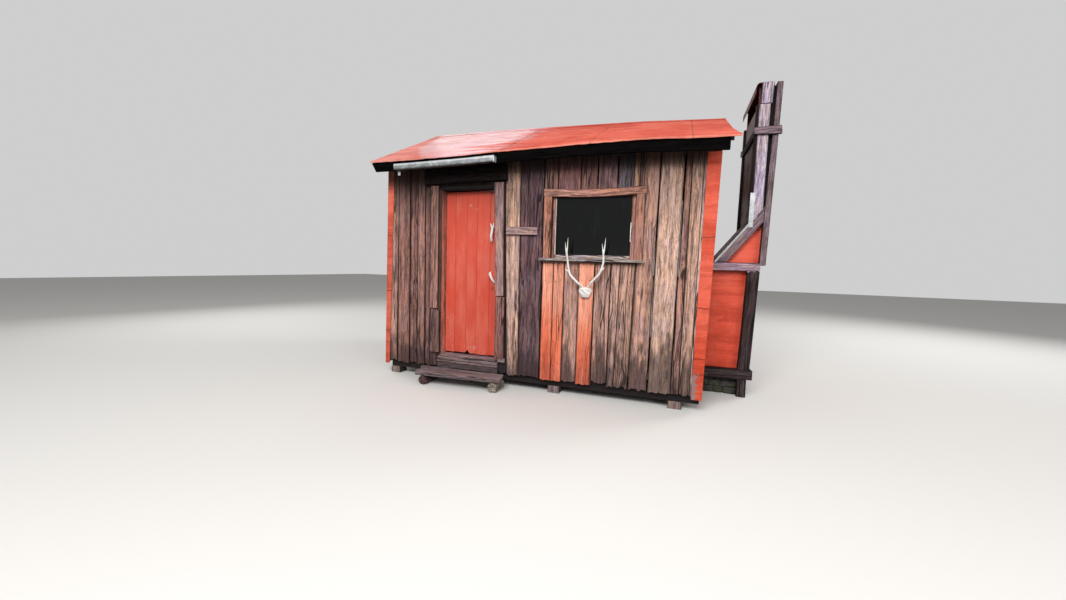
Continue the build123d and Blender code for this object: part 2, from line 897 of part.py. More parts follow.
def make_patches():
    """A batten over two slabs and a short notched board beside the door."""
    low = window_bottom + patch_level
    batten = block(doorway_right + patch_left_gap, window_left - patch_right_gap,
                   -patch_thickness, 0.0, low, low + patch_height)
    left = doorway_left - low_patch_width
    foot = floor_top + casing_foot_level
    top = foot + low_patch_height
    notch = low_patch_notch
    board = along_y([(left, foot), (doorway_left, foot), (doorway_left, top), (left + notch, top),
                     (left + notch, top - notch), (left, top - notch)], -low_patch_thickness, 0.0)
    return [batten, board]


def make_deer_skull():
    """A bleached skull with both antlers, its back against the slabs."""
    centre = window_left + skull_offset
    crown = window_bottom - skull_drop
    sections = [(0.0, 0.3, 0.18), (0.19, 0.48, 0.26), (0.4, 0.43, 0.24),
                (0.66, 0.27, 0.18), (0.91, 0.2, 0.14), (1.0, 0.13, 0.09)]
    rings = []
    for down, wide, deep in sections:
        place = Plane(origin=(centre, -0.16 * skull_length, crown - down * skull_length))
        rings.append(facet_ring(place, wide * skull_length, deep * skull_length, 10))
    skull = loft(rings, ruled=True)
    skull = skull & block(centre - skull_length, centre + skull_length, -skull_length, 0.0,
                          crown - 2 * skull_length, crown + skull_length)

    def on_antler(places, first_forward=1.0):
        out = [(centre + across * antler_height, -antler_stand_off, crown + up * antler_height)
               for across, up in places]
        out[0] = (out[0][0], -antler_stand_off * first_forward, out[0][2])
        return out

    beams = [
        ([(-0.067, -0.02), (-0.214, 0.115), (-0.327, 0.24), (-0.367, 0.46), (-0.398, 0.66)],
         [(-0.437, 0.9), (-0.378, 0.98)], [(-0.34, 0.28), (-0.375, 0.29), (-0.42, 0.32)]),
        ([(0.08, -0.02), (0.2, 0.13), (0.312, 0.28), (0.384, 0.52), (0.363, 0.68)],
         [(0.333, 0.86), (0.404, 0.98)], [(0.33, 0.31), (0.37, 0.34), (0.41, 0.39)]),
    ]
    beam_radii = [antler_height * s for s in (0.027, 0.0245, 0.0225, 0.0205, 0.0185)]
    tine_radii = [antler_height * s for s in (0.016, 0.013, 0.006)]
    for beam, tips, brow in beams:
        skull += tapered_branch(on_antler(beam, 0.4), beam_radii)
        skull += tapered_branch(on_antler(brow), tine_radii)
        last = beam[-1]
        for tip in tips:
            middle = ((last[0] + tip[0]) / 2, (last[1] + tip[1]) / 2)
            skull += tapered_branch(on_antler([(last[0], last[1] - 0.012), middle, tip]), tine_radii)
    return [skull]


# Step in front of the door

def make_step_plank():
    """One thick plank, cut aslant and ragged at its left end and wider there."""
    outline = Plane.XY.offset(step_top - step_thickness) * Polygon(
        (step_left + step_end_cut, step_front), (step_right + step_end_flare, step_front + step_taper),
        (step_right, step_back), (step_left, step_back), (step_left + step_end_cut / 8, step_front / 2),
        align=None)
    return [extrude(outline, amount=step_thickness)]


def make_step_logs():
    """Two short logs that carry the plank."""
    logs = []
    for x, front in ((step_left + left_log_inset, step_front + left_log_setback),
                     (step_right - right_log_inset, step_front + right_log_setback)):
        length = step_back - front
        face = Plane(origin=(x, step_back, step_log_radius), z_dir=(0, -1, 0)) * Circle(step_log_radius)
        logs.append(extrude(face, amount=length))
    return logs


# Chimney

def make_hearth():
    """Packed stone under the fire, from the ground up."""
    return [block(hut_length, chimney_outer - chimney_foot_width, cheek_front, cheek_back,
                  0.0, hearth_top)]


def make_chimney_feet():
    """A short foot under each outer corner."""
    right = chimney_outer - chimney_foot_inset
    foot = block(right - chimney_foot_width, right, chimney_front, cheek_front, 0.0,
                 chimney_bearer_bottom)
    return both_sides([foot])


def make_chimney_bearers():
    """Bearers round the chimney's three open sides."""
    side = block(hut_length, chimney_outer, chimney_front, cheek_front,
                 chimney_bearer_bottom, hearth_top)
    outer = block(chimney_outer - chimney_foot_width, chimney_outer, cheek_front, cheek_back,
                  chimney_bearer_bottom, hearth_top)
    return [side + outer + to_back(side)]


def make_chimney_posts():
    """Outer posts and the thin ones against the hut's wall."""
    outline = [
        (post_foot, hearth_top),
        (post_foot + chimney_post_width, hearth_top),
        (post_head + chimney_post_width, rail_bottom),
        (post_head, rail_bottom),
    ]
    outer = along_y(outline, chimney_front, cheek_front)
    inner = block(hut_length, hut_length + wall_post_width, chimney_front, cheek_front,
                  hearth_top, rail_bottom)
    return both_sides([outer, inner])


def make_chimney_rails():
    """The level rail on each cheek."""
    rail = block(hut_length, chimney_outer, chimney_front, cheek_front, rail_bottom, rail_top)
    return both_sides([rail])


def make_shoulder_boards():
    """Sloping boards that carry the shoulder's iron."""
    across = shoulder_board_width / math.sin(math.radians(shoulder_pitch))
    outline = [
        (shoulder_foot, rail_top),
        (shoulder_foot + across, rail_top),
        (chimney_outer, shoulder_line(chimney_outer - across)),
        (chimney_outer, shoulder_line(chimney_outer)),
    ]
    return both_sides([along_y(outline, chimney_front, cheek_front)])


def make_cheeks():
    """Iron on the fire side of the frame: fireplace, shoulder and flue in one outline."""
    outline = [
        (hut_length, hearth_top),
        (post_foot, hearth_top),
        (post_head, rail_bottom),
        (chimney_outer, rail_bottom),
        (chimney_outer, flue_top - chimney_iron),
        (flue_inner, flue_top - chimney_iron),
        (flue_inner, shoulder_line(flue_inner)),
        (shoulder_foot, rail_top),
        (hut_length, rail_top),
    ]
    return both_sides([along_y(outline, cheek_front, cheek_front + chimney_iron)])


def make_end_iron():
    """The chimney's outer iron, stepped out at the rail."""
    outline = [
        (post_foot - chimney_iron, hearth_top),
        (post_foot, hearth_top),
        (post_head, rail_bottom),
        (chimney_outer, rail_bottom),
        (chimney_outer, flue_top - chimney_iron),
        (chimney_outer - chimney_iron, flue_top - chimney_iron),
        (chimney_outer - chimney_iron, rail_bottom + chimney_iron),
        (post_head - chimney_iron, rail_bottom + chimney_iron),
    ]
    return [along_y(outline, cheek_front + chimney_iron, cheek_back - chimney_iron)]


def make_shoulder_iron():
    """Iron over the rails and up the slope to the flue."""
    lift = chimney_iron / math.cos(math.radians(shoulder_pitch))
    outline = [
        (hut_length, rail_top),
        (shoulder_foot, rail_top),
        (flue_inner, shoulder_line(flue_inner)),
        (flue_inner, shoulder_line(flue_inner) + lift),
        (shoulder_foot - 1.0, rail_top + chimney_iron),
        (hut_length, rail_top + chimney_iron),
    ]
    return [along_y(outline, chimney_front, chimney_back)]


def make_edge_flashings():
    """Bright strips along the shoulder's outer edges and up the flue's corner."""
    lift = chimney_iron / math.cos(math.radians(shoulder_pitch))
    thick = edge_flashing_thickness
    x0 = shoulder_foot
    x1 = flue_inner - flue_batten_thickness - chimney_iron - 1.0

    def line(x, extra):
        return (x, shoulder_line(x) + lift + extra)

    top = along_y([line(x0, 0.0), line(x1, 0.0), line(x1, thick * 1.6), line(x0, thick * 1.6)],
                  chimney_front, chimney_front + edge_flashing_width)
    drop = edge_flashing_drop * 1.6
    side = along_y([line(x0 + 12.0, -drop), line(x1, -drop), line(x1, thick * 1.6),
                    line(x0, thick * 1.6), line(x0, -lift)],
                   chimney_front - thick, chimney_front)
    corner = block(x1, x1 + edge_flashing_width, chimney_front - thick, chimney_front,
                   shoulder_line(x1) - drop, shoulder_line(flue_inner) + edge_flashing_rise)
    return both_sides([top + side + corner])


def make_flue_boards():
    """Upright boards on the flue's two narrow faces."""
    right = flue_inner + flue_board_width
    outline = [
        (flue_inner, shoulder_line(flue_inner)),
        (right, shoulder_line(right)),
        (right, slot_bottom),
        (flue_inner, slot_bottom),
    ]
    lower = along_y(outline, chimney_front, cheek_front)
    upper = block(flue_inner + top_board_shift, right + top_board_shift, chimney_front, cheek_front,
                  slot_bottom + top_board_gap, flue_top - chimney_iron)
    return both_sides([lower, upper])


def make_flue_uprights():
    """Thin outer uprights that lean slightly away from the hut."""
    foot = rail_top - flue_upright_drop
    height = flue_top - foot
    lean = height * math.tan(math.radians(flue_upright_lean))
    x0 = chimney_outer
    outline = [
        (x0, foot),
        (x0 + flue_upright_width, foot),
        (x0 + flue_upright_width + lean, flue_top - chimney_iron),
        (x0 + lean, flue_top - chimney_iron),
    ]
    return both_sides([along_y(outline, chimney_front, cheek_front)])


def make_flue_inner_iron():
    """The flue's broad face towards the hut, open in a slot under the cap."""
    return [block(flue_inner - chimney_iron, flue_inner, chimney_front, chimney_back,
                  shoulder_line(flue_inner) + chimney_iron * 2, slot_bottom)]


def make_flue_battens():
    """Upright battens on the edges of that face, and one across it at the crossbars."""
    face = flue_inner - chimney_iron
    foot = shoulder_line(flue_inner) + chimney_iron * 2
    edge = chimney_front + flue_batten_inset
    upright = block(face - flue_batten_thickness, face, edge, edge + flue_batten_width, foot,
                    slot_bottom)
    inner = edge + flue_batten_width
    across = block(face - flue_batten_thickness, face, inner, hut_depth - inner,
                   crossbar_bottom, crossbar_bottom + crossbar_height)
    return both_sides([upright]) + [across]


def make_crossbars():
    """Bars across the flue's narrow faces, tying its boards and uprights."""
    right = chimney_outer + flue_upright_width + crossbar_right_horn
    bar = block(flue_inner - crossbar_left_horn, right, chimney_front - crossbar_thickness,
                chimney_front, crossbar_bottom, crossbar_bottom + crossbar_height)
    return both_sides([bar])


def make_flue_cap():
    """Iron folded over the flue's top and down over the slot."""
    left = flue_inner - cap_overhang
    right = flue_inner + flue_board_width + top_board_shift
    radius = cap_overhang
    inner = radius - chimney_iron
    bend = math.sqrt(0.5)
    centre_x = left + radius
    centre_z = flue_top - radius

    def arc(size, start, end):
        middle = (centre_x - size * bend, 0, centre_z + size * bend)
        return Edge.make_three_point_arc(start, middle, end)

    edge = Wire([
        Edge.make_line((left, 0, slot_top), (left, 0, centre_z)),
        arc(radius, (left, 0, centre_z), (centre_x, 0, flue_top)),
        Edge.make_line((centre_x, 0, flue_top), (right, 0, flue_top)),
        Edge.make_line((right, 0, flue_top), (right, 0, flue_top - chimney_iron)),
        Edge.make_line((right, 0, flue_top - chimney_iron), (centre_x, 0, flue_top - chimney_iron)),
        arc(inner, (centre_x, 0, flue_top - chimney_iron), (left + chimney_iron, 0, centre_z)),
        Edge.make_line((left + chimney_iron, 0, centre_z), (left + chimney_iron, 0, slot_top)),
        Edge.make_line((left + chimney_iron, 0, slot_top), (left, 0, slot_top)),
    ])
    face = Face(edge).moved(Location((0, chimney_back, 0)))
    return [extrude(face, amount=chimney_width, dir=(0, -1, 0))]


nodes = {
    "piles": make_piles(),
    "floor_bearers": make_bearers(),
    "floor_joists": make_joists(),
    "floor": make_floor(),
    "wall_plates": make_plates(),
    "wall_studs": make_corner_posts() + make_studs(),
    "wall_girts": make_girts() + make_end_ties(),
    "front_wall_left": make_front_left(),
    "front_wall_over_door": make_front_over_door(),
    "front_wall_right": make_front_right(),
    "back_wall": make_back(),
    "left_end_wall": [gable(0.0)],
    "right_end_wall": make_right_end(),
    "corner_flashings": make_corner_flashings(),
    "rafters": make_rafters(),
    "ridge_board": make_ridge_board(),
    "purlins": make_purlins(),
    "roof_iron_front": [make_roof_iron()],
    "roof_iron_back": [to_back(make_roof_iron())],
    "ridge_cap": make_ridge_cap(),
    "fascia_boards": make_fascias(),
    "door_gutter": make_gutter(),
    "door_frame": make_door_frame(),
    "door_threshold": make_threshold(),
    "door_trim": make_door_trim(),
    "door_leaf": make_leaf(),
    "door_ledges": make_ledges(),
    "door_hinges": make_hinges(),
    "hinge_pins": make_hinge_pins(),
    "door_handles": make_door_handles(),
    "door_latch": make_door_latch(),
    "window_sash": make_sash(),
    "window_glass": make_glass(),
    "window_casings": make_window_casings(),
    "window_sill": make_window_sill(),
    "wall_patches": make_patches(),
    "deer_skull": make_deer_skull(),
    "step_plank": make_step_plank(),
    "step_logs": make_step_logs(),
    "hearth": make_hearth(),
    "chimney_feet": make_chimney_feet(),
    "chimney_bearers": make_chimney_bearers(),
    "chimney_posts": make_chimney_posts(),
    "chimney_rails": make_chimney_rails(),
    "shoulder_boards": make_shoulder_boards(),
    "chimney_cheeks": make_cheeks(),
    "chimney_end_iron": make_end_iron(),
    "shoulder_iron": make_shoulder_iron(),
    "shoulder_flashings": make_edge_flashings(),
    "flue_boards": make_flue_boards() + make_flue_uprights(),
    "flue_inner_iron": make_flue_inner_iron(),
    "flue_battens": make_flue_battens() + make_crossbars(),
    "flue_cap": make_flue_cap(),
}

# The origin moves to the middle of the whole outline, at ground level
whole = Compound([solid for solids in nodes.values() for solid in solids]).bounding_box()
middle = Location((-(whole.min.X + whole.max.X) / 2, -(whole.min.Y + whole.max.Y) / 2, 0.0))

os.makedirs("parts", exist_ok=True)
for name, solids in nodes.items():
    shape = solids[0] if len(solids) == 1 else Compound(solids)
    export_step(shape.moved(middle), f"parts/{name}.step")
print("origin shift", middle.position)
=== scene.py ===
import math
import random

import bmesh
import bpy
from bpy.props import FloatProperty, FloatVectorProperty, IntProperty, PointerProperty
from mathutils import Matrix, Vector


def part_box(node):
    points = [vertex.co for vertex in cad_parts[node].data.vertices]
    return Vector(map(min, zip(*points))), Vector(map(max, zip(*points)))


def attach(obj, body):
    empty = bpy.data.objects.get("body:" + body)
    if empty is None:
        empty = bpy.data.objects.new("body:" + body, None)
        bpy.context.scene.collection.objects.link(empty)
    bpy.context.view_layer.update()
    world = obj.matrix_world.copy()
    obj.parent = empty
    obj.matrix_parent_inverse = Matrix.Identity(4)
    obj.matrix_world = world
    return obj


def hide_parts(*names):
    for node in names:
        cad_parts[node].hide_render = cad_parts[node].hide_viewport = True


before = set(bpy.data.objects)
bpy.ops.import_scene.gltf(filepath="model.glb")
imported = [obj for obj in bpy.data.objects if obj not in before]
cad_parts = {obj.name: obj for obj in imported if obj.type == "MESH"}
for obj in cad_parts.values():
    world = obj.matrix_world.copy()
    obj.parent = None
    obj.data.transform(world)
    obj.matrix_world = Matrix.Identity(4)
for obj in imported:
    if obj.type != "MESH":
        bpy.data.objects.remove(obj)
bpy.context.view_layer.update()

bl_info = {
    "name": "Backcountry hut",
    "version": (1, 0, 0),
    "blender": (4, 5, 0),
    "location": "View3D > Sidebar > Hut",
    "description": "Dresses a slab hut with its boards, iron, door, window, antlers and chimney",
    "category": "Object",
}

# The hut's own coordinates start at the front wall's left corner, on the ground
CORNER = Vector((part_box("left_end_wall")[0].x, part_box("front_wall_left")[0].y, 0.0))

# A board's width, length and thickness along X, Y and Z
FRONT_UPRIGHT = (0, 2, 1)
FRONT_LEVEL = (2, 0, 1)
SIDE_UPRIGHT = (1, 2, 0)
SIDE_LEVEL = (2, 1, 0)
FLAT_LONG = (1, 0, 2)
FLAT_CROSS = (0, 1, 2)


def shade(red, green, blue):
    """A colour as it looks on a screen, 0 to 255, in the numbers that a shader takes."""
    return tuple(c / 255 / 12.92 if c <= 10 else ((c / 255 + 0.055) / 1.055) ** 2.4
                 for c in (red, green, blue))


def blend(first, second, share):
    """A colour part of the way from one to another."""
    return tuple(a + (b - a) * share for a, b in zip(first, second))


def dim(colour, factor):
    """A colour made darker, or lighter, by a factor."""
    return tuple(c * factor for c in colour)


def node_box(node):
    """A CAD node's lowest and highest corners in the hut's own coordinates."""
    low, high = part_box(node)
    return low - CORNER, high - CORNER


# The frame's main places

HUT_LENGTH = node_box("right_end_wall")[1].x
HUT_DEPTH = node_box("back_wall")[1].y
SLAB = node_box("left_end_wall")[1].x
SLAB_FOOT, SLAB_TOP = (corner.z for corner in node_box("front_wall_left"))
ROOF_LOW, ROOF_HIGH = node_box("roof_iron_front")
ROOF_LEFT, ROOF_RIGHT, EAVE_Y, RIDGE_Z = ROOF_LOW.x, ROOF_HIGH.x, ROOF_LOW.y, ROOF_HIGH.z
RIDGE_Y = HUT_DEPTH / 2
ROOF_SLOPE = math.tan(math.radians(25.0))
ROOF_RISE = (RIDGE_Y - EAVE_Y) * ROOF_SLOPE
EAVE_Z = RIDGE_Z - ROOF_RISE
SHOULDER_ANGLE = math.radians(52.5)

# Where boards and sheets meet

SLAB_GAP = 0.003
SHEET_EDGES = (ROOF_LEFT, 0.66, 1.58, 2.50, 3.30, ROOF_RIGHT)
SLAB_NAIL_LEVELS = (0.33, 1.23, 1.43, 2.19, 2.46)
LINTEL_FOOT = 2.259
FLASHING_TOP = 2.47
SAME_PLACE = 1e-5


# Modelling

def alone(piece=None):
    """Leaves one piece selected, or none."""
    bpy.ops.object.select_all(action="DESELECT")
    if piece:
        piece.select_set(True)
        bpy.context.view_layer.objects.active = piece


def edit(piece):
    """Opens one piece in edit mode."""
    alone(piece)
    bpy.ops.object.mode_set(mode="EDIT")


def leave():
    """Back to object mode."""
    bpy.ops.object.mode_set(mode="OBJECT")


def pick(kind, test):
    """Selects the vertices, edges or faces that pass a test on their place or normal."""
    bpy.ops.mesh.select_mode(type=kind)
    bpy.ops.mesh.select_all(action="DESELECT")
    mesh = bmesh.from_edit_mesh(bpy.context.edit_object.data)
    for part in {"VERT": mesh.verts, "EDGE": mesh.edges, "FACE": mesh.faces}[kind]:
        if test(part):
            part.select_set(True)
    bmesh.update_edit_mesh(bpy.context.edit_object.data)


def shift(test, move):
    """Moves the vertices that pass a test."""
    pick("VERT", test)
    bpy.ops.transform.translate(value=move)


def squash(test, factors, centre):
    """Scales the vertices that pass a test about a place."""
    pick("VERT", test)
    bpy.ops.transform.resize(value=factors, center_override=centre)


def everywhere(part):
    """A test that everything passes."""
    return True


def divide(test, cuts):
    """Subdivides the edges that pass a test."""
    pick("EDGE", test)
    bpy.ops.mesh.subdivide(number_cuts=cuts)


def draw_out(*moves):
    """Extrudes the selected edges, once for each move."""
    for move in moves:
        bpy.ops.mesh.extrude_edges_move(TRANSFORM_OT_translate={"value": move})


def cut(place, normal):
    """Takes off all that lies in front of a plane and closes the mesh there."""
    bpy.ops.mesh.select_all(action="SELECT")
    bpy.ops.mesh.bisect(plane_co=place, plane_no=normal, use_fill=True, clear_outer=True)


def rows_of(piece):
    """The places along Y of an open sheet's rows of vertices."""
    return sorted({round(v.co.y, 5) for v in bmesh.from_edit_mesh(piece.data).verts})


def run(edge):
    """An edge's direction."""
    return (edge.verts[1].co - edge.verts[0].co).normalized()


def settle_place(piece):
    """Applies the object's place, turn and scale to its mesh."""
    alone(piece)
    bpy.ops.object.transform_apply(location=True, rotation=True, scale=True)


def started(add, name="", scale=None, **words):
    """A new primitive with its place applied."""
    alone()
    add(**words)
    piece = bpy.context.object
    if name:
        piece.name = name
    if scale is not None:
        piece.scale = scale
    settle_place(piece)
    return piece


def block(name, low, high):
    """A square-edged start between two corners."""
    low, high = Vector(low), Vector(high)
    return started(bpy.ops.mesh.primitive_cube_add, name, high - low, size=1.0, location=(low + high) / 2)


def apply_modifier(piece, kind, **settings):
    """Adds a modifier and applies it."""
    alone(piece)
    modifier = piece.modifiers.new(kind.lower(), kind)
    for key, value in settings.items():
        setattr(modifier, key, value)
    bpy.ops.object.modifier_apply(modifier=modifier.name)


def soften(piece, width, segments=1):
    """Bevels a piece's sharp edges."""
    apply_modifier(piece, "BEVEL", width=width, segments=segments, limit_method="ANGLE")


def thicken(piece, thickness, offset=0.0):
    """Gives a sheet its thickness."""
    apply_modifier(piece, "SOLIDIFY", thickness=thickness, offset=offset)


def join(name, pieces):
    """Makes one piece of several."""
    alone()
    for piece in pieces:
        piece.select_set(True)
    bpy.context.view_layer.objects.active = pieces[0]
    if len(pieces) > 1:
        bpy.ops.object.join()
    piece = bpy.context.object
    piece.name = name
    return piece


def twin_of(piece, place, scale=None, turn=None):
    """A copy of a piece with its own mesh, moved, scaled and turned."""
    twin = piece.copy()
    twin.data = piece.data.copy()
    bpy.context.scene.collection.objects.link(twin)
    twin.location = place
    if scale is not None:
        twin.scale = scale
    if turn is not None:
        twin.rotation_euler = turn
    settle_place(twin)
    return twin


def mirrored_behind(piece):
    """A copy of a piece on the other side of the ridge."""
    twin = twin_of(piece, (0.0, HUT_DEPTH, 0.0), (1.0, -1.0, 1.0))
    edit(twin)
    bpy.ops.mesh.select_all(action="SELECT")
    bpy.ops.mesh.normals_make_consistent(inside=False)
    leave()
    return twin


class Surface:
    """Noise and an empty that give the modelled surfaces their unevenness."""

    def __init__(self):
        self.space = None
        self.clouds = None

    def roughen(self, piece, relief, size, turn=(0.0, 0.0, 0.0), seed=0):
        """Moves a piece's surface in and out by a noise of the given size along each axis."""
        if self.clouds is None:
            self.clouds = bpy.data.textures.new("uneven", "CLOUDS")
            self.clouds.noise_scale = 1.0
            self.clouds.noise_depth = 2
            self.space = bpy.data.objects.new("uneven_space", None)
            bpy.context.scene.collection.objects.link(self.space)
        self.space.location = (0.37 * seed, 1.13 * seed, 0.71 * seed)
        self.space.rotation_euler = turn
        self.space.scale = size
        apply_modifier(piece, "DISPLACE", texture=self.clouds, texture_coords="OBJECT",
                       texture_coords_object=self.space, strength=relief, mid_level=0.5)

    def clear(self):
        """Takes the empty away again."""
        if self.space:
            bpy.data.objects.remove(self.space)
            bpy.data.textures.remove(self.clouds)
        self.space = self.clouds = None


surface = Surface()


def at(axes, wide, long, thick):
    """A board's own coordinates as a place in the hut."""
    place = Vector()
    for axis, value in zip(axes, (wide, long, thick)):
        place[axis] = value
    return place


def mark(piece, axes, along, tint, stain, seed):
    """Stores a board's grain coordinates, colour, stain and long sides in its mesh; the long sides carry painted shade
    for the gaps between boards.
    """
    thick = at(axes, 0.0, 0.0, 1.0)
    wide = along.cross(thick)
    grain, gap_shade, edges = [], [], 0.25 if axes[2] == 2 else 1.0
    for vertex in piece.data.vertices:
        grain += [vertex.co.dot(wide) + 1.7 * seed, vertex.co.dot(thick) + 0.9 * seed,
                  vertex.co.dot(along) + 5.3 * seed]
        gap_shade.append(abs(vertex.normal.dot(wide)) * edges)
    count = len(gap_shade)
    for name, kind, key, values in (("grain", "FLOAT_VECTOR", "vector", grain),
                                    ("rim", "FLOAT", "value", gap_shade),
                                    ("tint", "FLOAT_COLOR", "color", [*tint, 1.0] * count),
                                    ("stain", "FLOAT", "value", [stain] * count)):
        piece.data.attributes.new(name, kind, "POINT").data.foreach_set(key, values)


def outline(wide, long, head=None):
    """The corners of a board between two ends; with a head, its edges end there instead."""
    head = head or wide
    return (wide[0], long[0]), (wide[1], long[0]), (head[0], long[1]), (head[1], long[1])


def turn_to(axes, along):
    """The turn that lines noise up with a board that leans in its own plane."""
    lean = math.atan2(along[axes[0]], along[axes[1]])
    turn = [0.0, 0.0, 0.0]
    turn[axes[2]] = lean if (axes[0] + 1) % 3 != axes[1] else -lean
    return turn


def board(corners, depth, axes=FRONT_UPRIGHT, tint=(0.15, 0.1, 0.08), stain=0.0, seed=0,
          cell=0.017, step=0.08, relief=0.005, edge=0.003, ragged=(0.0, 0.0), trims=()):
    """A split board: foot and head corners across its face, grain from foot to head."""
    foot_left, foot_right, head_left, head_right = corners
    reach = foot_left[1] + 1.0
    piece = block("board", at(axes, *foot_left, depth[0]), at(axes, foot_right[0], reach, depth[1]))
    edit(piece)
    for start, end in (((foot_left[0], reach), head_left), ((foot_right[0], reach), head_right),
                       ((foot_right[0], foot_left[1]), foot_right)):
        shift(lambda v: all(abs(v.co[axes[k]] - start[k]) < SAME_PLACE for k in (0, 1)),
              at(axes, end[0] - start[0], end[1] - start[1], 0.0))
    foot, head = (Vector((left[0] + right[0], left[1] + right[1])) / 2
                  for left, right in ((foot_left, foot_right), (head_left, head_right)))
    length = (head - foot).length
    width = max(abs(foot_right[0] - foot_left[0]), abs(head_right[0] - head_left[0]), 0.02)
    along = at(axes, (head.x - foot.x) / length, (head.y - foot.y) / length, 0.0)
    thick = at(axes, 0.0, 0.0, 1.0)
    divide(lambda e: abs(run(e).dot(thick)) > 0.9, 1)
    divide(lambda e: abs(run(e).dot(thick)) < 0.1 and abs(run(e).dot(along)) < 0.93,
           max(1, round(width / cell) - 1))
    divide(lambda e: abs(run(e).dot(along)) > 0.93, max(1, round(length / step) - 1))
    for place, normal in trims:
        cut(place, normal)
    bpy.ops.mesh.select_mode(type="EDGE")
    bpy.ops.mesh.select_all(action="DESELECT")
    bpy.ops.mesh.edges_select_sharp(sharpness=0.7)
    bpy.ops.mesh.bevel(offset=edge, segments=1, affect="EDGES")
    chance = random.Random(seed)
    strips = max(2, round(width / 0.03))
    for end, bite, way in ((foot, ragged[0], 1), (head, ragged[1], -1)):
        for strip in range(strips if bite else 0):
            left, right = (foot_left[0] + (foot_right[0] - foot_left[0]) * number / strips
                           for number in (strip, strip + 1))
            shift(lambda v: left <= v.co[axes[0]] < right and abs(v.co[axes[1]] - end.y) < 0.02,
                  at(axes, 0.0, chance.uniform(0.0, bite) * way, 0.0))
    leave()
    surface.roughen(piece, relief, at(axes, 0.035, 0.5, 0.035), turn=turn_to(axes, along), seed=seed)
    mark(piece, axes, along, tint, stain, seed)
    return piece


def sheet(name, low, high, cuts, upright=False, head=(0.0, 0.0)):
    """A flat sheet of iron between two corners, with its far edge's ends moved sideways."""
    low, high = Vector(low), Vector(high)
    far = 2 if upright else 1
    piece = started(bpy.ops.mesh.primitive_plane_add, name, (high.x - low.x, high[far] - low[far], 1.0),
                    size=1.0, location=(low + high) / 2, rotation=(math.pi / 2 if upright else 0.0, 0.0, 0.0))
    edit(piece)
    for side, move in ((low, head[0]), (high, head[1])):
        if move:
            shift(lambda v: abs(v.co.x - side.x) < SAME_PLACE and v.co[far] > high[far] - SAME_PLACE,
                  (move, 0.0, 0.0))
    for axis, count in ((0, cuts[0]), (far, cuts[1])):
        divide(lambda e: abs(run(e)[axis]) > 0.9, count)
    leave()
    return piece


def nail_heads(name, places, facing=(0.0, -1.0, 0.0), radius=None):
    """Small domed nail heads, each looking out of its board."""
    radius = radius or bpy.context.scene.hut_sizes.nail_radius
    alone()
    bpy.ops.mesh.primitive_cylinder_add(vertices=7, radius=radius, depth=radius * 0.7, location=(0, 0, 0))
    nail = bpy.context.object
    edit(nail)
    pick("FACE", lambda f: f.normal.z > 0.9)
    bpy.ops.mesh.inset(thickness=radius * 0.45)
    bpy.ops.transform.translate(value=(0.0, 0.0, radius * 0.25))
    leave()
    nail.rotation_euler = Vector(facing).to_track_quat("Z", "Y").to_euler()
    settle_place(nail)
    heads = [twin_of(nail, place) for place in places]
    bpy.data.objects.remove(nail)
    return join(name, heads)


def branch(points, radii):
    """A smooth bent branch through points, with its own thickness at each."""
    curve = bpy.data.curves.new("branch", "CURVE")
    curve.dimensions = "3D"
    curve.bevel_depth = 1.0
    curve.bevel_resolution = 2
    curve.use_fill_caps = True
    curve.resolution_u = 6
    spline = curve.splines.new("NURBS")
    spline.points.add(len(points) - 1)
    for point, place, radius in zip(spline.points, points, radii):
        point.co = (*place, 1.0)
        point.radius = radius
    spline.order_u = 3
    spline.use_endpoint_u = True
    piece = bpy.data.objects.new("branch", curve)
    bpy.context.scene.collection.objects.link(piece)
    alone(piece)
    bpy.ops.object.convert(target="MESH")
    return bpy.context.object


def restated(node):
    """A loose copy of a CAD node's mesh in the hut's coordinates, with its corners merged."""
    piece = bpy.data.objects.new(node + "_copy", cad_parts[node].data.copy())
    bpy.context.scene.collection.objects.link(piece)
    piece.location = -CORNER
    settle_place(piece)
    edit(piece)
    bpy.ops.mesh.select_all(action="SELECT")
    bpy.ops.mesh.remove_doubles(threshold=SAME_PLACE)
    bpy.ops.mesh.dissolve_limited(angle_limit=0.02)
    leave()
    return piece


# The way the old roof has settled, from left to right: the ridge falls and the eaves rise
RIDGE_SAG = (0.036, 0.040, 0.021, 0.001, -0.039)
EAVE_SAG = (-0.008, 0.002, 0.026, 0.042, 0.016)


CAGE_FOOT, CAGE_TOP = 2.3, 3.3


def settle_with_roof(piece, foot=None):
    """Lets a piece follow the roof; with a foot, it stands still at that height."""
    low = Vector((ROOF_LEFT, EAVE_Y, CAGE_FOOT if foot is None else foot))
    high = Vector((ROOF_RIGHT, HUT_DEPTH - EAVE_Y, CAGE_TOP))
    alone()
    bpy.ops.object.add(type="LATTICE", location=(low + high) / 2)
    cage = bpy.context.object
    cage.scale = high - low
    lattice = cage.data
    lattice.points_u, lattice.points_v, lattice.points_w = 5, 3, 2
    lattice.interpolation_type_u = "KEY_CATMULL_ROM"
    lattice.interpolation_type_v = lattice.interpolation_type_w = "KEY_LINEAR"
    for index, point in enumerate(lattice.points):
        across, back, up = index % 5, index // 5 % 3, index // 15
        rise = 0.0 if foot is not None and up == 0 else (RIDGE_SAG if back == 1 else EAVE_SAG)[across]
        point.co_deform = point.co + Vector((0.0, 0.0, rise / (high.z - low.z)))
    bpy.context.view_layer.update()
    apply_modifier(piece, "LATTICE", object=cage)
    bpy.data.objects.remove(cage)


def finish_piece(piece, material, node="", body="hut", smooth=0.6):
    """Moves a finished piece into the frame, dresses it, hides the CAD node it stands for and hangs it on its body."""
    piece.location = CORNER
    settle_place(piece)
    if smooth:
        bpy.ops.object.shade_smooth_by_angle(angle=smooth)
    piece.data.materials.clear()
    piece.data.materials.append(material)
    if node:
        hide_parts(node)
    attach(piece, body)
    alone()


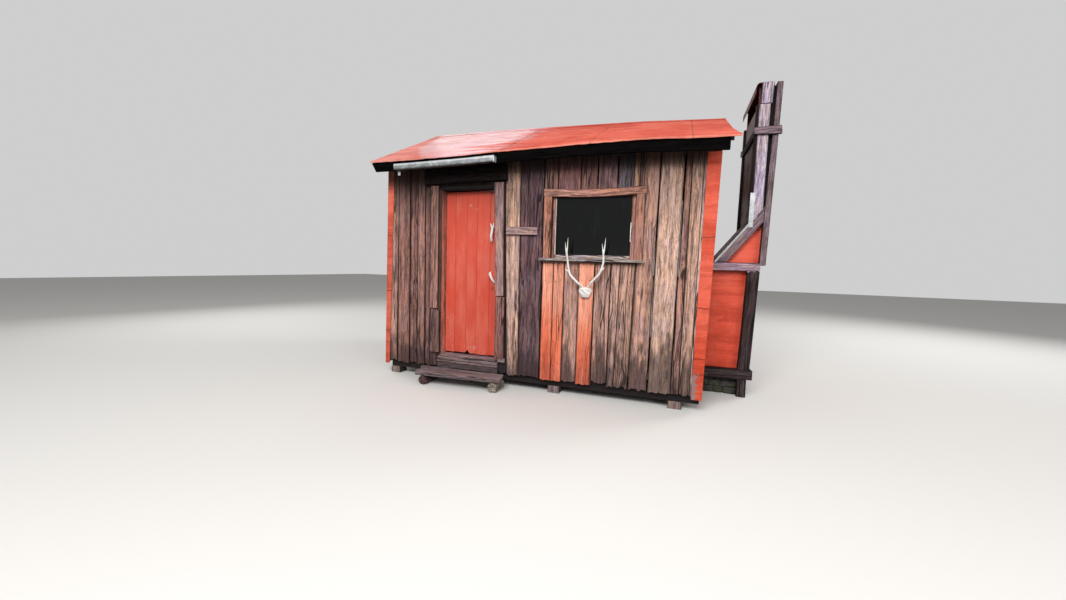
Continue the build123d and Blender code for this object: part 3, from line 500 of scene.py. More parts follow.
def boarded(name, pieces, node, damp=0.0, bleach=0.35, eave_grime_and_shade=None, body="hut"):
    """Joins boards into one finished piece of split wood."""
    finish_piece(join(name, pieces), split_wood("split_wood", damp, bleach, 0.25, eave_grime_and_shade), node, body)


def melted(name, parts, voxel, grain, seed, wall, material, node, body="hut"):
    """Melts bones into one finished piece, cut off at the wall behind them."""
    piece = join(name, parts)
    apply_modifier(piece, "REMESH", mode="VOXEL", voxel_size=voxel)
    surface.roughen(piece, 0.0022, grain, seed=seed)
    apply_modifier(piece, "SMOOTH", factor=0.5, iterations=2)
    edit(piece)
    cut((0.0, wall, 0.0), (0.0, 1.0, 0.0))
    leave()
    finish_piece(piece, material, node, body, 1.2)


# Materials

class Reading:
    """A value in a material, so that shader maths is written as an expression."""

    def __init__(self, finish, socket):
        self.finish = finish
        self.socket = socket

    def maths(self, operation, first, second=0.0):
        return self.finish.node("ShaderNodeMath", {"operation": operation}, {0: first, 1: second})

    def __add__(self, other):
        return self.maths("ADD", self, other)

    __radd__ = __add__

    def __sub__(self, other):
        return self.maths("SUBTRACT", self, other)

    def __rsub__(self, other):
        return self.maths("SUBTRACT", other, self)

    def __mul__(self, other):
        return self.maths("MULTIPLY", self, other)

    __rmul__ = __mul__

    def __abs__(self):
        return self.maths("ABSOLUTE", self)

    def least(self, other):
        return self.maths("MINIMUM", self, other)

    def most(self, other):
        return self.maths("MAXIMUM", self, other)

    def between(self, low, high):
        """0 at low, 1 at high, eased and held outside."""
        return self.finish.node("ShaderNodeMapRange", {"interpolation_type": "SMOOTHSTEP", "clamp": True},
                                {0: self, 1: low, 2: high, 3: 0.0, 4: 1.0})

    def veins(self, low, high):
        """Lines where a noise passes through its middle: 1 within low, 0 beyond high."""
        return 1.0 - abs(self - 0.5).between(low, high)


class Finish:
    """One material: a Principled shader with the nodes that feed it."""

    def __init__(self, name, world=None, **constants):
        self.material = world or bpy.data.materials.new(name)
        self.material.use_nodes = True
        self.tree = self.material.node_tree
        if world:
            return
        self.tree.nodes.clear()
        self.shader = self.tree.nodes.new("ShaderNodeBsdfPrincipled")
        output = self.tree.nodes.new("ShaderNodeOutputMaterial")
        self.tree.links.new(self.shader.outputs[0], output.inputs["Surface"])
        for socket, value in constants.items():
            self.shader.inputs[socket.replace("_", " ")].default_value = value

    def node(self, kind, settings=None, sockets=None, output=0):
        """Any node: its type, its settings, then the values or links of its sockets."""
        node = self.tree.nodes.new(kind)
        for key, value in (settings or {}).items():
            setattr(node, key, value)
        for key, value in (sockets or {}).items():
            self.plug(node.inputs[key], value)
        return Reading(self, node.outputs[output])

    def plug(self, socket, value):
        """Links a reading or sets a constant."""
        if isinstance(value, Reading):
            self.tree.links.new(value.socket, socket)
        elif socket.type == "RGBA" and len(value) == 3:
            socket.default_value = (*value, 1.0)
        else:
            socket.default_value = value

    def place(self):
        """Object coordinates."""
        return self.node("ShaderNodeTexCoord", output="Object")

    def stored(self, name, output="Fac"):
        """A value stored in the mesh."""
        return self.node("ShaderNodeAttribute", {"attribute_name": name}, output=output)

    def stretched(self, vector, scale, turn=(0.0, 0.0, 0.0)):
        """Coordinates turned and scaled."""
        return self.node("ShaderNodeMapping", {}, {"Vector": vector, "Rotation": turn, "Scale": scale})

    def along(self, vector, axis):
        """One axis of a place."""
        return self.node("ShaderNodeSeparateXYZ", {}, {0: vector}, output=axis)

    def in_hut(self, place, axes):
        """A place along some axes, measured from the hut's corner."""
        return [self.along(place, axis) - CORNER["XYZ".index(axis)] for axis in axes]

    def noise(self, vector, scale, detail=3.0, rough=0.55, distortion=0.0):
        return self.node("ShaderNodeTexNoise", {}, {"Vector": vector, "Scale": scale, "Detail": detail,
                                                    "Roughness": rough, "Distortion": distortion})

    def drawn(self, vector, stretch, scale, detail=3.0, rough=0.55):
        """Noise drawn out along Z."""
        return self.noise(self.stretched(vector, (1.0, 1.0, stretch)), scale, detail, rough)

    def cells(self, vector, scale, output="Distance"):
        return self.node("ShaderNodeTexVoronoi", {}, {"Vector": vector, "Scale": scale}, output=output)

    def mix(self, first, second, share, mode="MIX"):
        """Two colours in one."""
        return self.node("ShaderNodeMix", {"data_type": "RGBA", "blend_type": mode},
                         {0: share, 6: first, 7: second}, output=2)

    def brighter(self, colour, factor):
        """A colour times a value."""
        return self.node("ShaderNodeVectorMath", {"operation": "SCALE"}, {0: colour, "Scale": factor})

    def seen(self):
        """1 where the stage is looked at, straight, mirrored or through glass; 0 where it gives light."""
        rays = [self.node("ShaderNodeLightPath", output=f"Is {kind} Ray")
                for kind in ("Camera", "Glossy", "Transmission")]
        return rays[0].most(rays[1]).most(rays[2])

    def close(self, colour, roughness=None, height=None, strength=0.6, distance=0.003, **others):
        """Feeds the shader."""
        self.plug(self.shader.inputs["Base Color"], colour)
        if roughness is not None:
            self.plug(self.shader.inputs["Roughness"], roughness)
        if height is not None:
            bump = self.node("ShaderNodeBump", {}, {"Strength": strength, "Distance": distance, "Height": height})
            self.plug(self.shader.inputs["Normal"], bump)
        for socket, value in others.items():
            self.plug(self.shader.inputs[socket.replace("_", " ")], value)
        return self.material


made = {}


def finish_once(maker):
    """Makes each material once and hands it out again after that."""
    def again(*words):
        key = (maker.__name__, *words)
        if key not in made:
            made[key] = maker(*words)
        return made[key]
    return again


@finish_once
def split_wood(name, damp, bleach, gloss, eave_grime_and_shade=None):
    """Weathered split timber: flowing grain, cracks, knots, a damp foot and any stain, with painted shade under the
    eaves and on the boards' long sides.
    """
    look = bpy.context.scene.hut_colours
    finish = Finish(name, Specular_IOR_Level=gloss)
    grain = finish.stored("grain", "Vector")
    tint = finish.stored("tint", "Color")
    stain, rim = finish.stored("stain"), finish.stored("rim")
    place = finish.place()
    height = finish.along(place, "Z")
    back = finish.along(place, "Y") - (CORNER.y + RIDGE_Y)
    across, = finish.in_hut(place, "X")
    under = height + (abs(back) - RIDGE_Y) * ROOF_SLOPE
    knots = finish.cells(finish.stretched(grain, (8.0, 8.0, 1.7)), 1.0)
    knot = 1.0 - knots.between(0.04, 0.15)
    sway = finish.drawn(grain, 0.6, 4.0, 1.0)
    flow = finish.node("ShaderNodeCombineXYZ", {}, {0: sway * 0.05 + (1.0 - knots.between(0.03, 0.35)) * 0.02})
    bent = finish.node("ShaderNodeVectorMath", {"operation": "ADD"}, {0: grain, 1: flow})
    long = finish.stretched(bent, (1.0, 1.0, 0.05))
    short = finish.stretched(bent, (1.0, 1.0, 0.07))
    broad = finish.noise(long, 24.0, 2.0, 0.5)
    streak = finish.noise(short, 62.0, 5.0, 0.65)
    fine = finish.noise(long, 150.0, 3.0, 0.7)
    pore = finish.drawn(bent, 0.14, 110.0, 3.0, 0.8)
    hue = finish.drawn(grain, 0.3, 13.0, 3.0, 0.6).between(0.36, 0.64)
    blotch = finish.drawn(grain, 0.35, 8.0, 4.0, 0.65)
    crack = finish.noise(long, 24.0, 1.0, 0.5, 0.2).veins(0.010, 0.034)
    crack = crack * finish.noise(long, 6.0, 1.0).between(0.50, 0.60)
    check = finish.noise(long, 80.0, 1.0).veins(0.0, 0.04) * pore.between(0.40, 0.65)
    level = (broad * 0.20 + streak * 0.30 + fine * 0.30 + pore * 0.20).between(0.40, 0.60)
    wood = finish.mix(finish.brighter(tint, 0.36), finish.brighter(tint, 2.30), level)
    wood = finish.mix(wood, finish.mix((1.06, 1.0, 0.90), (0.95, 0.95, 1.06), hue), 1.0, "MULTIPLY")
    light = finish.node("ShaderNodeRGBToBW", {}, {0: tint}).between(0.004, 0.05)
    worn = blotch.between(0.46, 0.70) * fine.between(0.40, 0.58) * light * bleach
    bleached = finish.mix(wood, look.silvered, worn.least(1.0))
    thin = (height + blotch * 0.7).between(0.75, 1.55) * 0.75 + broad.between(0.4, 0.7) * 0.25
    coat = finish.mix(look.slab_red, look.slab_red_pale, thin.least(1.0))
    film = stain.most(0.0) * (0.72 + streak.between(0.36, 0.50) * 0.28)
    stained = finish.mix(bleached, finish.brighter(coat, 0.94 + level * 0.50), film)
    stained = finish.mix(stained, finish.brighter(tint, 0.25), knot * 0.85)
    above = height + blotch * 1.1 + broad * 0.5 + stain.least(0.0) * 0.22
    foot = (1.0 - above.between(1.04, 1.38)) * damp
    # The boards darken towards the roof, most by the door under the gutter: painted shade of the eaves and the gutter,
    # with some grime.
    shade_by_door = (1.0 - across.between(1.2, 2.2)) * under.between(1.72, 2.34) * 0.84
    sooty = under.between(1.60, 2.36) * 0.46 + under.between(2.30, 2.45) * 0.38
    sooty = sooty.most(shade_by_door) * (damp if eave_grime_and_shade is None else eave_grime_and_shade)
    wet = finish.brighter(stained, 1.0 - foot * (0.66 - stain.most(0.0) * 0.50) - sooty)
    wet = finish.mix(wet, shade(92, 78, 86), foot * 0.22)
    # Cracks and checks are real marks; the boards' long sides are darkened as painted shade in the gaps between boards.
    dark = (crack * 0.92 + check * 0.55 + rim.between(0.10, 0.62) * 0.85).least(0.95)
    colour = finish.mix(wet, finish.brighter(tint, 0.10), dark)
    relief = broad * 0.5 + streak * 0.3 + fine * 0.25 + pore * 0.1 - crack * 1.2 - check * 0.5 - knot * 0.2
    return finish.close(colour, 0.86 - foot * 0.22 - level * 0.10, relief, 0.9, 0.005)


@finish_once
def sawn_wood(name, base, axis):
    """Plain sawn timber inside the hut, grain along one axis."""
    finish = Finish(name, Specular_IOR_Level=0.3)
    place = finish.place()
    scale = [1.0, 1.0, 1.0]
    scale[axis] = 0.05
    long = finish.stretched(place, tuple(scale))
    broad = finish.noise(long, 30.0, 3.0, 0.6)
    fine = finish.noise(long, 190.0, 3.0, 0.7)
    blotch = finish.noise(place, 3.0, 3.0, 0.6)
    level = (broad * 0.6 + fine * 0.4).between(0.3, 0.7)
    colour = finish.mix(base, dim(base, 0.45), blotch.between(0.45, 0.75))
    colour = finish.brighter(colour, 0.55 + level * 0.7)
    return finish.close(colour, 0.85 - level * 0.1, broad * 0.6 + fine * 0.4, 0.6, 0.003)


@finish_once
def painted_iron(name, wear, lie, where):
    """Paint on flat iron, in the colour of the same name: faded, creased, scratched and rusting; on the roof, a painted
    reflection of the sky pales its left half.
    """
    look = bpy.context.scene.hut_colours
    base, pale = getattr(look, name), look.roof_pale
    finish = Finish(name, Specular_IOR_Level=0.12 if where == "roof" else 0.3, Coat_Roughness=0.2)
    place = finish.place()
    across, back, height = finish.in_hut(place, "XYZ")
    cloud = finish.noise(place, 2.2, 3.0, 0.55)
    mottle = finish.noise(place, 17.0, 4.0, 0.7)
    drips = finish.drawn(place, 0.08, 34.0, 3.0, 0.6)
    level = finish.stretched(place, lie)
    folds = finish.noise(level, 13.0, 3.0, 0.6)
    scuffs = finish.noise(level, 55.0, 2.0, 0.6)
    scratch = scuffs.veins(0.0, 0.03) * mottle.between(0.44, 0.60)
    crease = folds.veins(0.0, 0.03) * cloud.between(0.36, 0.54)
    specks = 1.0 - finish.cells(place, 26.0).between(0.05, 0.16)
    spots = specks * finish.noise(place, 2.7, 2.0).between(0.50, 0.68)
    faded = (cloud.between(0.40, 0.70) + folds.between(0.48, 0.72)) * (0.4 * wear)
    # On the roof, glare marks a painted reflection of the sky: it thickens the coat and paints the paint pale and pink
    # there.
    if where == "roof":
        drift = (folds - 0.5) * 0.6
        bands = finish.noise(level, 24.0, 3.0, 0.6).between(0.38, 0.56)
        start = (across + back * 0.75 - 0.44).least(across + back * 0.22 - 0.25) + (mottle - 0.5) * 0.2
        stop = 1.0 - (across - back * 0.20 + drift * 1.4 - bands * 0.35).between(0.90, 1.35)
        glare = start.between(-0.03, 0.07) * (0.45 + bands * 0.55) * stop
        finish.plug(finish.shader.inputs["Coat Weight"], glare * 0.7)
        # faded here also carries the painted reflection, a paler left end and a paler eave lip.
        far = (0.9 - across).between(0.0, 0.7)
        lip = 1.0 - back.between(EAVE_Y + 0.002, EAVE_Y + 0.012)
        faded = faded * 0.45 + glare * 0.4 + far * 0.55 + lip * 0.7
    paint = finish.mix(base, pale, faded.least(1.0))
    if where == "roof":
        thin = finish.noise(finish.stretched(place, (0.02, 1.0, 1.0), (0.0, 0.0, 0.05)), 19.0, 0.0, 0.5)
        lines = thin.veins(0.003, 0.018) * cloud.between(0.44, 0.54)
        lap, half = SHEET_EDGES[1], (SHEET_EDGES[2] - SHEET_EDGES[1]) / 2
        laps = 1.0 - across.maths("PINGPONG", across - lap, half).between(0.003, 0.010)
        paint = finish.mix(paint, finish.brighter(pale, 1.25), lines * 0.55)
        paint = finish.brighter(paint, 1.0 - laps * 0.45)
        # The painted reflection's pink over the roof's left half, a little of it also at the left end.
        paint = finish.mix(paint, look.painted_glare, (glare * 0.58).most(far * 0.15))
    # On the left corner flashing: painted light pales it, and painted shade darkens its top under the eave.
    if where == "corner":
        left = 1.0 - across.between(0.2, 0.6)
        paint = finish.mix(paint, pale, left * 0.22)
        paint = finish.brighter(paint, 1.0 - left * height.between(2.12, 2.34) * 0.75)
    uneven = 0.56 + drips * 0.22 + mottle * 0.24 + cloud.between(0.35, 0.65) * 0.14
    paint = finish.brighter(paint, uneven + folds.between(0.36, 0.64) * 0.26)
    paint = finish.mix(paint, finish.brighter(pale, 1.25), (scratch * 0.8 + crease * 0.6).least(1.0) * wear)
    if where == "corner":
        for seam in (1.69, 1.02, 0.53, 0.38):
            line = 1.0 - abs(height + (mottle - 0.5) * 0.03 - seam).between(0.002, 0.010)
            paint = finish.mix(paint, finish.brighter(base, 0.25), line * 0.75)
        edge = finish.noise(place, 38.0, 3.0, 0.7) - 0.5
        peeled = (3.590 - across + edge * 0.12).between(0.0, 0.008) * (
            0.38 - height + edge * 0.40).between(0.0, 0.012)
        peeled = peeled * (across - back * 20.0).between(3.0, 3.1)
        paint = finish.mix(paint, finish.brighter(look.silvered, 0.35 + mottle * 0.5), peeled * 0.9)
    if where == "chimney":
        paint = finish.brighter(paint, 1.0 - height.between(1.95, 2.30) * 0.88)
    colour = finish.mix(paint, look.rust, (spots * 0.8 + drips.between(0.62, 0.78) * 0.4) * wear)
    rough = 0.42 + mottle * 0.16 + spots * 0.3 + scratch * 0.2
    relief = mottle * 0.3 + cloud * 1.6 + folds * 1.2 - crease * 0.4 - spots * 0.4
    return finish.close(colour, rough, relief, 0.45, 0.005)


@finish_once
def rusty_iron(name, base, share, sooty=False):
    """Old paint that has gone to rust, streaked downwards; sooty where it faces the fire."""
    look = bpy.context.scene.hut_colours
    finish = Finish(name, Specular_IOR_Level=0.4)
    place = finish.place()
    broad = finish.noise(place, 4.0, 5.0, 0.65)
    fine = finish.noise(place, 60.0, 4.0, 0.7)
    drips = finish.drawn(place, 0.06, 28.0, 4.0, 0.65)
    eaten = (broad * 0.6 + drips * 0.4).between(0.46, 0.60) * share + fine.between(0.58, 0.75) * 0.3
    paint = finish.brighter(getattr(look, base), 0.50 + drips * 0.6 + broad * 0.4)
    rust = finish.mix(look.rust, look.rust_dark, fine.between(0.35, 0.65))
    colour = finish.mix(paint, rust, eaten.least(1.0))
    if sooty:
        inside = 0.0 - finish.along(finish.node("ShaderNodeNewGeometry", output="Normal"), "X")
        colour = finish.brighter(colour, 1.0 - inside.between(0.3, 0.7) * 0.88)
    return finish.close(colour, 0.45 + eaten * 0.4, broad * 0.5 + fine * 0.3 - eaten * 0.4, 0.5, 0.003)


@finish_once
def zinc(name="zinc", light=1.0):
    """Dull galvanised iron with white bloom and runs; at less than full light, a darker gutter with painted shade and
    painted highlights.
    """
    look = bpy.context.scene.hut_colours
    finish = Finish(name, Specular_IOR_Level=0.5)
    place = finish.place()
    spangle = finish.cells(place, 55.0, output="Color")
    grey = finish.node("ShaderNodeRGBToBW", {}, {0: spangle})
    bloom = finish.noise(place, 18.0, 5.0, 0.7)
    drips = finish.drawn(place, 0.1, 40.0, 3.0)
    white = bloom.between(0.45, 0.7) * light
    metal = dim(look.zinc, light)
    colour = finish.mix(finish.brighter(metal, 0.78 + grey * 0.30), look.zinc_bloom_and_glint, white * 0.6)
    colour = finish.mix(colour, finish.brighter(metal, 0.35), drips.between(0.62, 0.75) * 0.6)
    if light < 1.0:
        across, height = finish.in_hut(place, "XZ")
        rise = height - across * 0.0228 + (bloom - 0.5) * 0.02
        # Painted shade darkens the gutter's belly; painted highlights run along its top edge, its lower rim and its
        # right end.
        colour = finish.mix(finish.brighter(colour, 0.25), colour, rise.between(2.397, 2.415))
        bright = rise.between(2.430, 2.446).most(across.between(1.505, 1.513))
        bright = bright.most(1.0 - height.between(2.385, 2.395))
        colour = finish.mix(colour, look.zinc_bloom_and_glint, bright * 0.85)
    finish.plug(finish.shader.inputs["Metallic"], 0.45 - white * 0.35)
    return finish.close(colour, 0.38 + white * 0.3, bloom * 0.5 + grey * 0.1, 0.3, 0.002)


@finish_once
def door_red(name="door_red"):
    """Coral paint on the door's boards: grain shows through, worn and chipped at the foot, darker at the head as
    painted shade.
    """
    look = bpy.context.scene.hut_colours
    finish = Finish(name, Specular_IOR_Level=0.45)
    grain = finish.stored("grain", "Vector")
    height = finish.along(finish.place(), "Z")
    long = finish.stretched(grain, (1.0, 1.0, 0.04))
    broad = finish.noise(long, 24.0, 3.0, 0.6)
    fine = finish.noise(long, 170.0, 3.0, 0.7)
    patchy = finish.drawn(grain, 0.4, 6.0, 4.0, 0.6)
    split = finish.noise(long, 30.0, 2.0, 0.6, 0.2).veins(0.002, 0.013)
    split = split * finish.noise(long, 4.5, 1.0).between(0.55, 0.64)
    chips = finish.noise(grain, 42.0, 4.0, 0.7) - (height - 0.30).between(0.0, 0.32) * 0.22
    bare = chips.between(0.58, 0.64)
    for x, z, reach in ((1.075, 2.045, 0.026), (1.155, 2.000, 0.022), (1.150, 0.400, 0.034),
                        (1.395, 1.150, 0.024)):
        away = finish.node("ShaderNodeVectorMath", {"operation": "DISTANCE"},
                           {0: finish.place(), 1: CORNER + Vector((x, 0.100, z))}, output="Value")
        bare = bare.most((1.0 - away.between(reach * 0.3, reach)) * fine.between(0.44, 0.54) * 0.6)
    grime = 1.0 - finish.cells(grain, 34.0).between(0.10, 0.20)
    grime = grime * (1.0 - (height + patchy * 0.4).between(0.62, 0.85))
    scuff = finish.drawn(grain, 3.0, 11.0, 2.0).veins(0.0, 0.012)
    scuff = scuff * finish.noise(grain, 3.1, 1.0).between(0.60, 0.70)
    paint = finish.mix(look.door_paint, look.door_paint_pale, patchy.between(0.40, 0.72) * 0.6)
    # Painted shade: the paint darkens towards the door's head, under the lintel.
    paint = finish.brighter(paint, 0.62 + broad * 0.36 + fine * 0.42 - height.between(1.55, 2.20) * 0.16)
    worn = finish.mix(paint, look.bare_wood, (bare * 0.85 + scuff * 0.6).least(1.0))
    low = (1.0 - (height + patchy * 0.2).between(0.38, 0.50)) * 0.12
    dirt = split * 0.8 + low + grime * 0.5
    colour = finish.mix(worn, finish.brighter(look.door_paint, 0.12), dirt.least(0.9))
    relief = broad * 0.3 + fine * 0.4 - split - bare * 0.5
    return finish.close(colour, 0.50 + fine * 0.12 + bare * 0.3, relief, 0.6, 0.003)


@finish_once
def black_iron(name="black_iron"):
    """Rusted black iron of hinges, latch and nails."""
    look = bpy.context.scene.hut_colours
    finish = Finish(name, Metallic=0.3)
    place = finish.place()
    coarse = finish.noise(place, 70.0, 5.0, 0.7)
    colour = finish.mix(look.black_iron, look.rust_dark, coarse.between(0.45, 0.65))
    return finish.close(colour, 0.55 + coarse * 0.3, coarse, 0.5, 0.001)


@finish_once
def antler(name, base, tip):
    """Bone and antler: pale, finely grooved, browner in its hollows."""
    look = bpy.context.scene.hut_colours
    finish = Finish(name, Specular_IOR_Level=0.4, Subsurface_Weight=0.05)
    place = finish.place()
    groove = finish.drawn(place, 0.2, 130.0, 3.0, 0.6)
    cloud = finish.noise(place, 14.0, 4.0, 0.6)
    colour = finish.mix(getattr(look, base), getattr(look, tip), cloud.between(0.38, 0.62))
    colour = finish.mix(colour, finish.brighter(getattr(look, base), 0.50), groove.between(0.60, 0.74) * 0.45)
    return finish.close(colour, 0.55 + groove * 0.2, groove * 0.6 + cloud * 0.5, 0.5, 0.002)


@finish_once
def dark_pane(name="dark_pane"):
    """A dusty pane, nearly opaque and near black: painted shade of the room behind."""
    look = bpy.context.scene.hut_colours
    finish = Finish(name, Alpha=0.93, Specular_IOR_Level=0.3)
    place = finish.place()
    dust = finish.noise(place, 7.0, 5.0, 0.65)
    rim = finish.along(place, "Z").between(1.62, 1.50)
    runs = finish.drawn(place, 0.12, 26.0, 3.0, 0.6).between(0.55, 0.75)
    colour = finish.brighter(look.pane, 0.3 + dust * 0.7 + rim * 0.9 + runs * 2.2)
    return finish.close(colour, 0.05 + dust * 0.10)


@finish_once
def field_stone(name="field_stone"):
    """Rough stones, sooty and mossy."""
    look = bpy.context.scene.hut_colours
    finish = Finish(name, Specular_IOR_Level=0.3)
    place = finish.place()
    broad = finish.noise(place, 9.0, 5.0, 0.65)
    fine = finish.noise(place, 90.0, 4.0, 0.7)
    moss = finish.noise(place, 5.0, 4.0, 0.7).between(0.55, 0.68)
    colour = finish.mix(look.stone, finish.brighter(look.stone, 0.45), broad.between(0.4, 0.65))
    colour = finish.mix(colour, look.moss, moss * 0.5)
    return finish.close(colour, 0.85, broad + fine * 0.3, 0.8, 0.008)


# Properties

def tone(name, description, red, green, blue):
    """A colour to choose in the sidebar."""
    return FloatVectorProperty(name=name, description=description, subtype="COLOR", size=3, min=0.0, max=1.0,
                               default=shade(red, green, blue))


def extent(name, description, default, low, high):
    """A length to choose in the sidebar."""
    return FloatProperty(name=name, description=description, default=default, min=low, max=high,
                         subtype="DISTANCE", unit="LENGTH")


class HutColours(bpy.types.PropertyGroup):
    """Colours of the hut's boards, paint, iron and bone."""
    slab_purple: tone("Purple slabs", "Dark purple-brown split slabs", 98, 71, 76)
    slab_brown: tone("Brown slabs", "Red-brown split slabs", 142, 102, 92)
    slab_tan: tone("Tan slabs", "Pale tan split slabs", 192, 159, 142)
    # Also dimmed as painted shade for the fascias, the lintel, the door's head board and the floor's timbers
    slab_dark: tone("Dark slabs", "Nearly black damp slabs", 38, 30, 31)
    slab_red: tone("Stained slabs", "Orange-red stain on three slabs", 234, 108, 72)
    slab_red_pale: tone("Stained slabs, worn", "The same stain where it has thinned", 242, 172, 146)
    silvered: tone("Silvered wood", "Wood bleached by weather", 188, 166, 162)
    step_grey: tone("Step and threshold", "Grey foot-worn planks", 130, 111, 111)
    casing_brown: tone("Window casings", "Brown boards round the window", 160, 114, 100)
    bare_wood: tone("Bare wood", "Wood where paint has worn off", 206, 186, 176)
    roof_paint: tone("Roof paint", "Orange-red paint on the roof iron", 216, 66, 34)
    roof_pale: tone("Roof paint, faded", "The same paint gone chalky", 232, 142, 122)
    # Painted reflection of the sky, mixed into the roof paint's left half
    painted_glare: tone("Roof paint, chalk", "Pink chalk on the roof's left half", 238, 194, 210)
    flashing_paint: tone("Flashing paint", "Orange-red paint on the corner flashings", 222, 78, 48)
    chimney_paint: tone("Chimney paint", "Red paint on the chimney's iron", 236, 84, 56)
    flue_paint: tone("Flue paint", "Dark red paint on the flue's broad face", 88, 32, 28)
    door_paint: tone("Door paint", "Coral red paint on the door", 222, 84, 62)
    door_paint_pale: tone("Door paint, faded", "The same paint where it has faded", 234, 120, 100)
    chimney_wood: tone("Chimney timber", "Grey-purple timbers of the chimney", 132, 112, 120)
    chimney_pale: tone("Flue boards", "Pale weathered boards of the flue", 166, 154, 168)
    # Also dimmed for the board behind the flue's gap, as painted shade
    chimney_dark: tone("Dark chimney timber", "Sooty, damp timbers of the chimney", 50, 38, 40)
    rust: tone("Rust", "Fresh rust", 122, 62, 36)
    rust_dark: tone("Old rust", "Old brown rust", 66, 40, 32)
    zinc: tone("Galvanised iron", "Dull galvanised iron", 196, 200, 202)
    # Also the painted highlight on the gutter
    zinc_bloom_and_glint: tone("Zinc bloom", "White bloom on galvanised iron", 232, 236, 238)
    black_iron: tone("Black iron", "Iron of the hinges and nails", 40, 34, 32)
    bone: tone("Bone", "Bleached bone and antler tips", 252, 251, 250)
    antler: tone("Antler", "Weathered antler", 236, 230, 222)
    # Near black: painted shade of the room behind the glass
    pane: tone("Pane", "Dusty glass over a dark room", 7, 10, 9)
    stone: tone("Stone", "Packed stones under the fire", 78, 76, 72)
    moss: tone("Moss", "Moss on stones and the step's log", 84, 92, 50)
    frame_wood: tone("Frame timber", "Sawn timber of the frame", 128, 104, 80)
    floor_grey: tone("Studio floor", "The plain pale floor", 236, 234, 230)
    floor_shade: tone("Studio floor's light", "The floor as it lights the hut from below", 120, 116, 110)


class HutSizes(bpy.types.PropertyGroup):
    """Sizes that shape the hut's weathered surfaces."""
    slab_relief: extent("Slab relief", "How far the slabs' faces go in and out", 0.007, 0.0, 0.012)
    iron_dents: extent("Iron dents", "How far the flat iron is dented", 0.006, 0.0, 0.02)
    foot_rot: extent("Ragged feet", "How far the slabs' feet have rotted away", 0.022, 0.0, 0.06)
    nail_radius: extent("Nail heads", "Radius of the nail heads", 0.0045, 0.002, 0.008)
    chance: IntProperty(name="Chance", description="Which random slabs the back and ends get",
                        default=7, min=0, max=1000)


# Walls

def slabs(name, rows, first_seed, node):
    """A wall of slabs: each row gives foot and head edges, ends, colour, stain, depth and rot."""
    relief = bpy.context.scene.hut_sizes.slab_relief
    boarded(name, [board(outline(foot, (low, high), head), (front, SLAB), tint=tint, stain=stain,
                         seed=first_seed + index, relief=relief, ragged=(rot, 0.0))
                   for index, (foot, head, low, high, tint, stain, front, rot) in enumerate(rows)], node, 1.0)


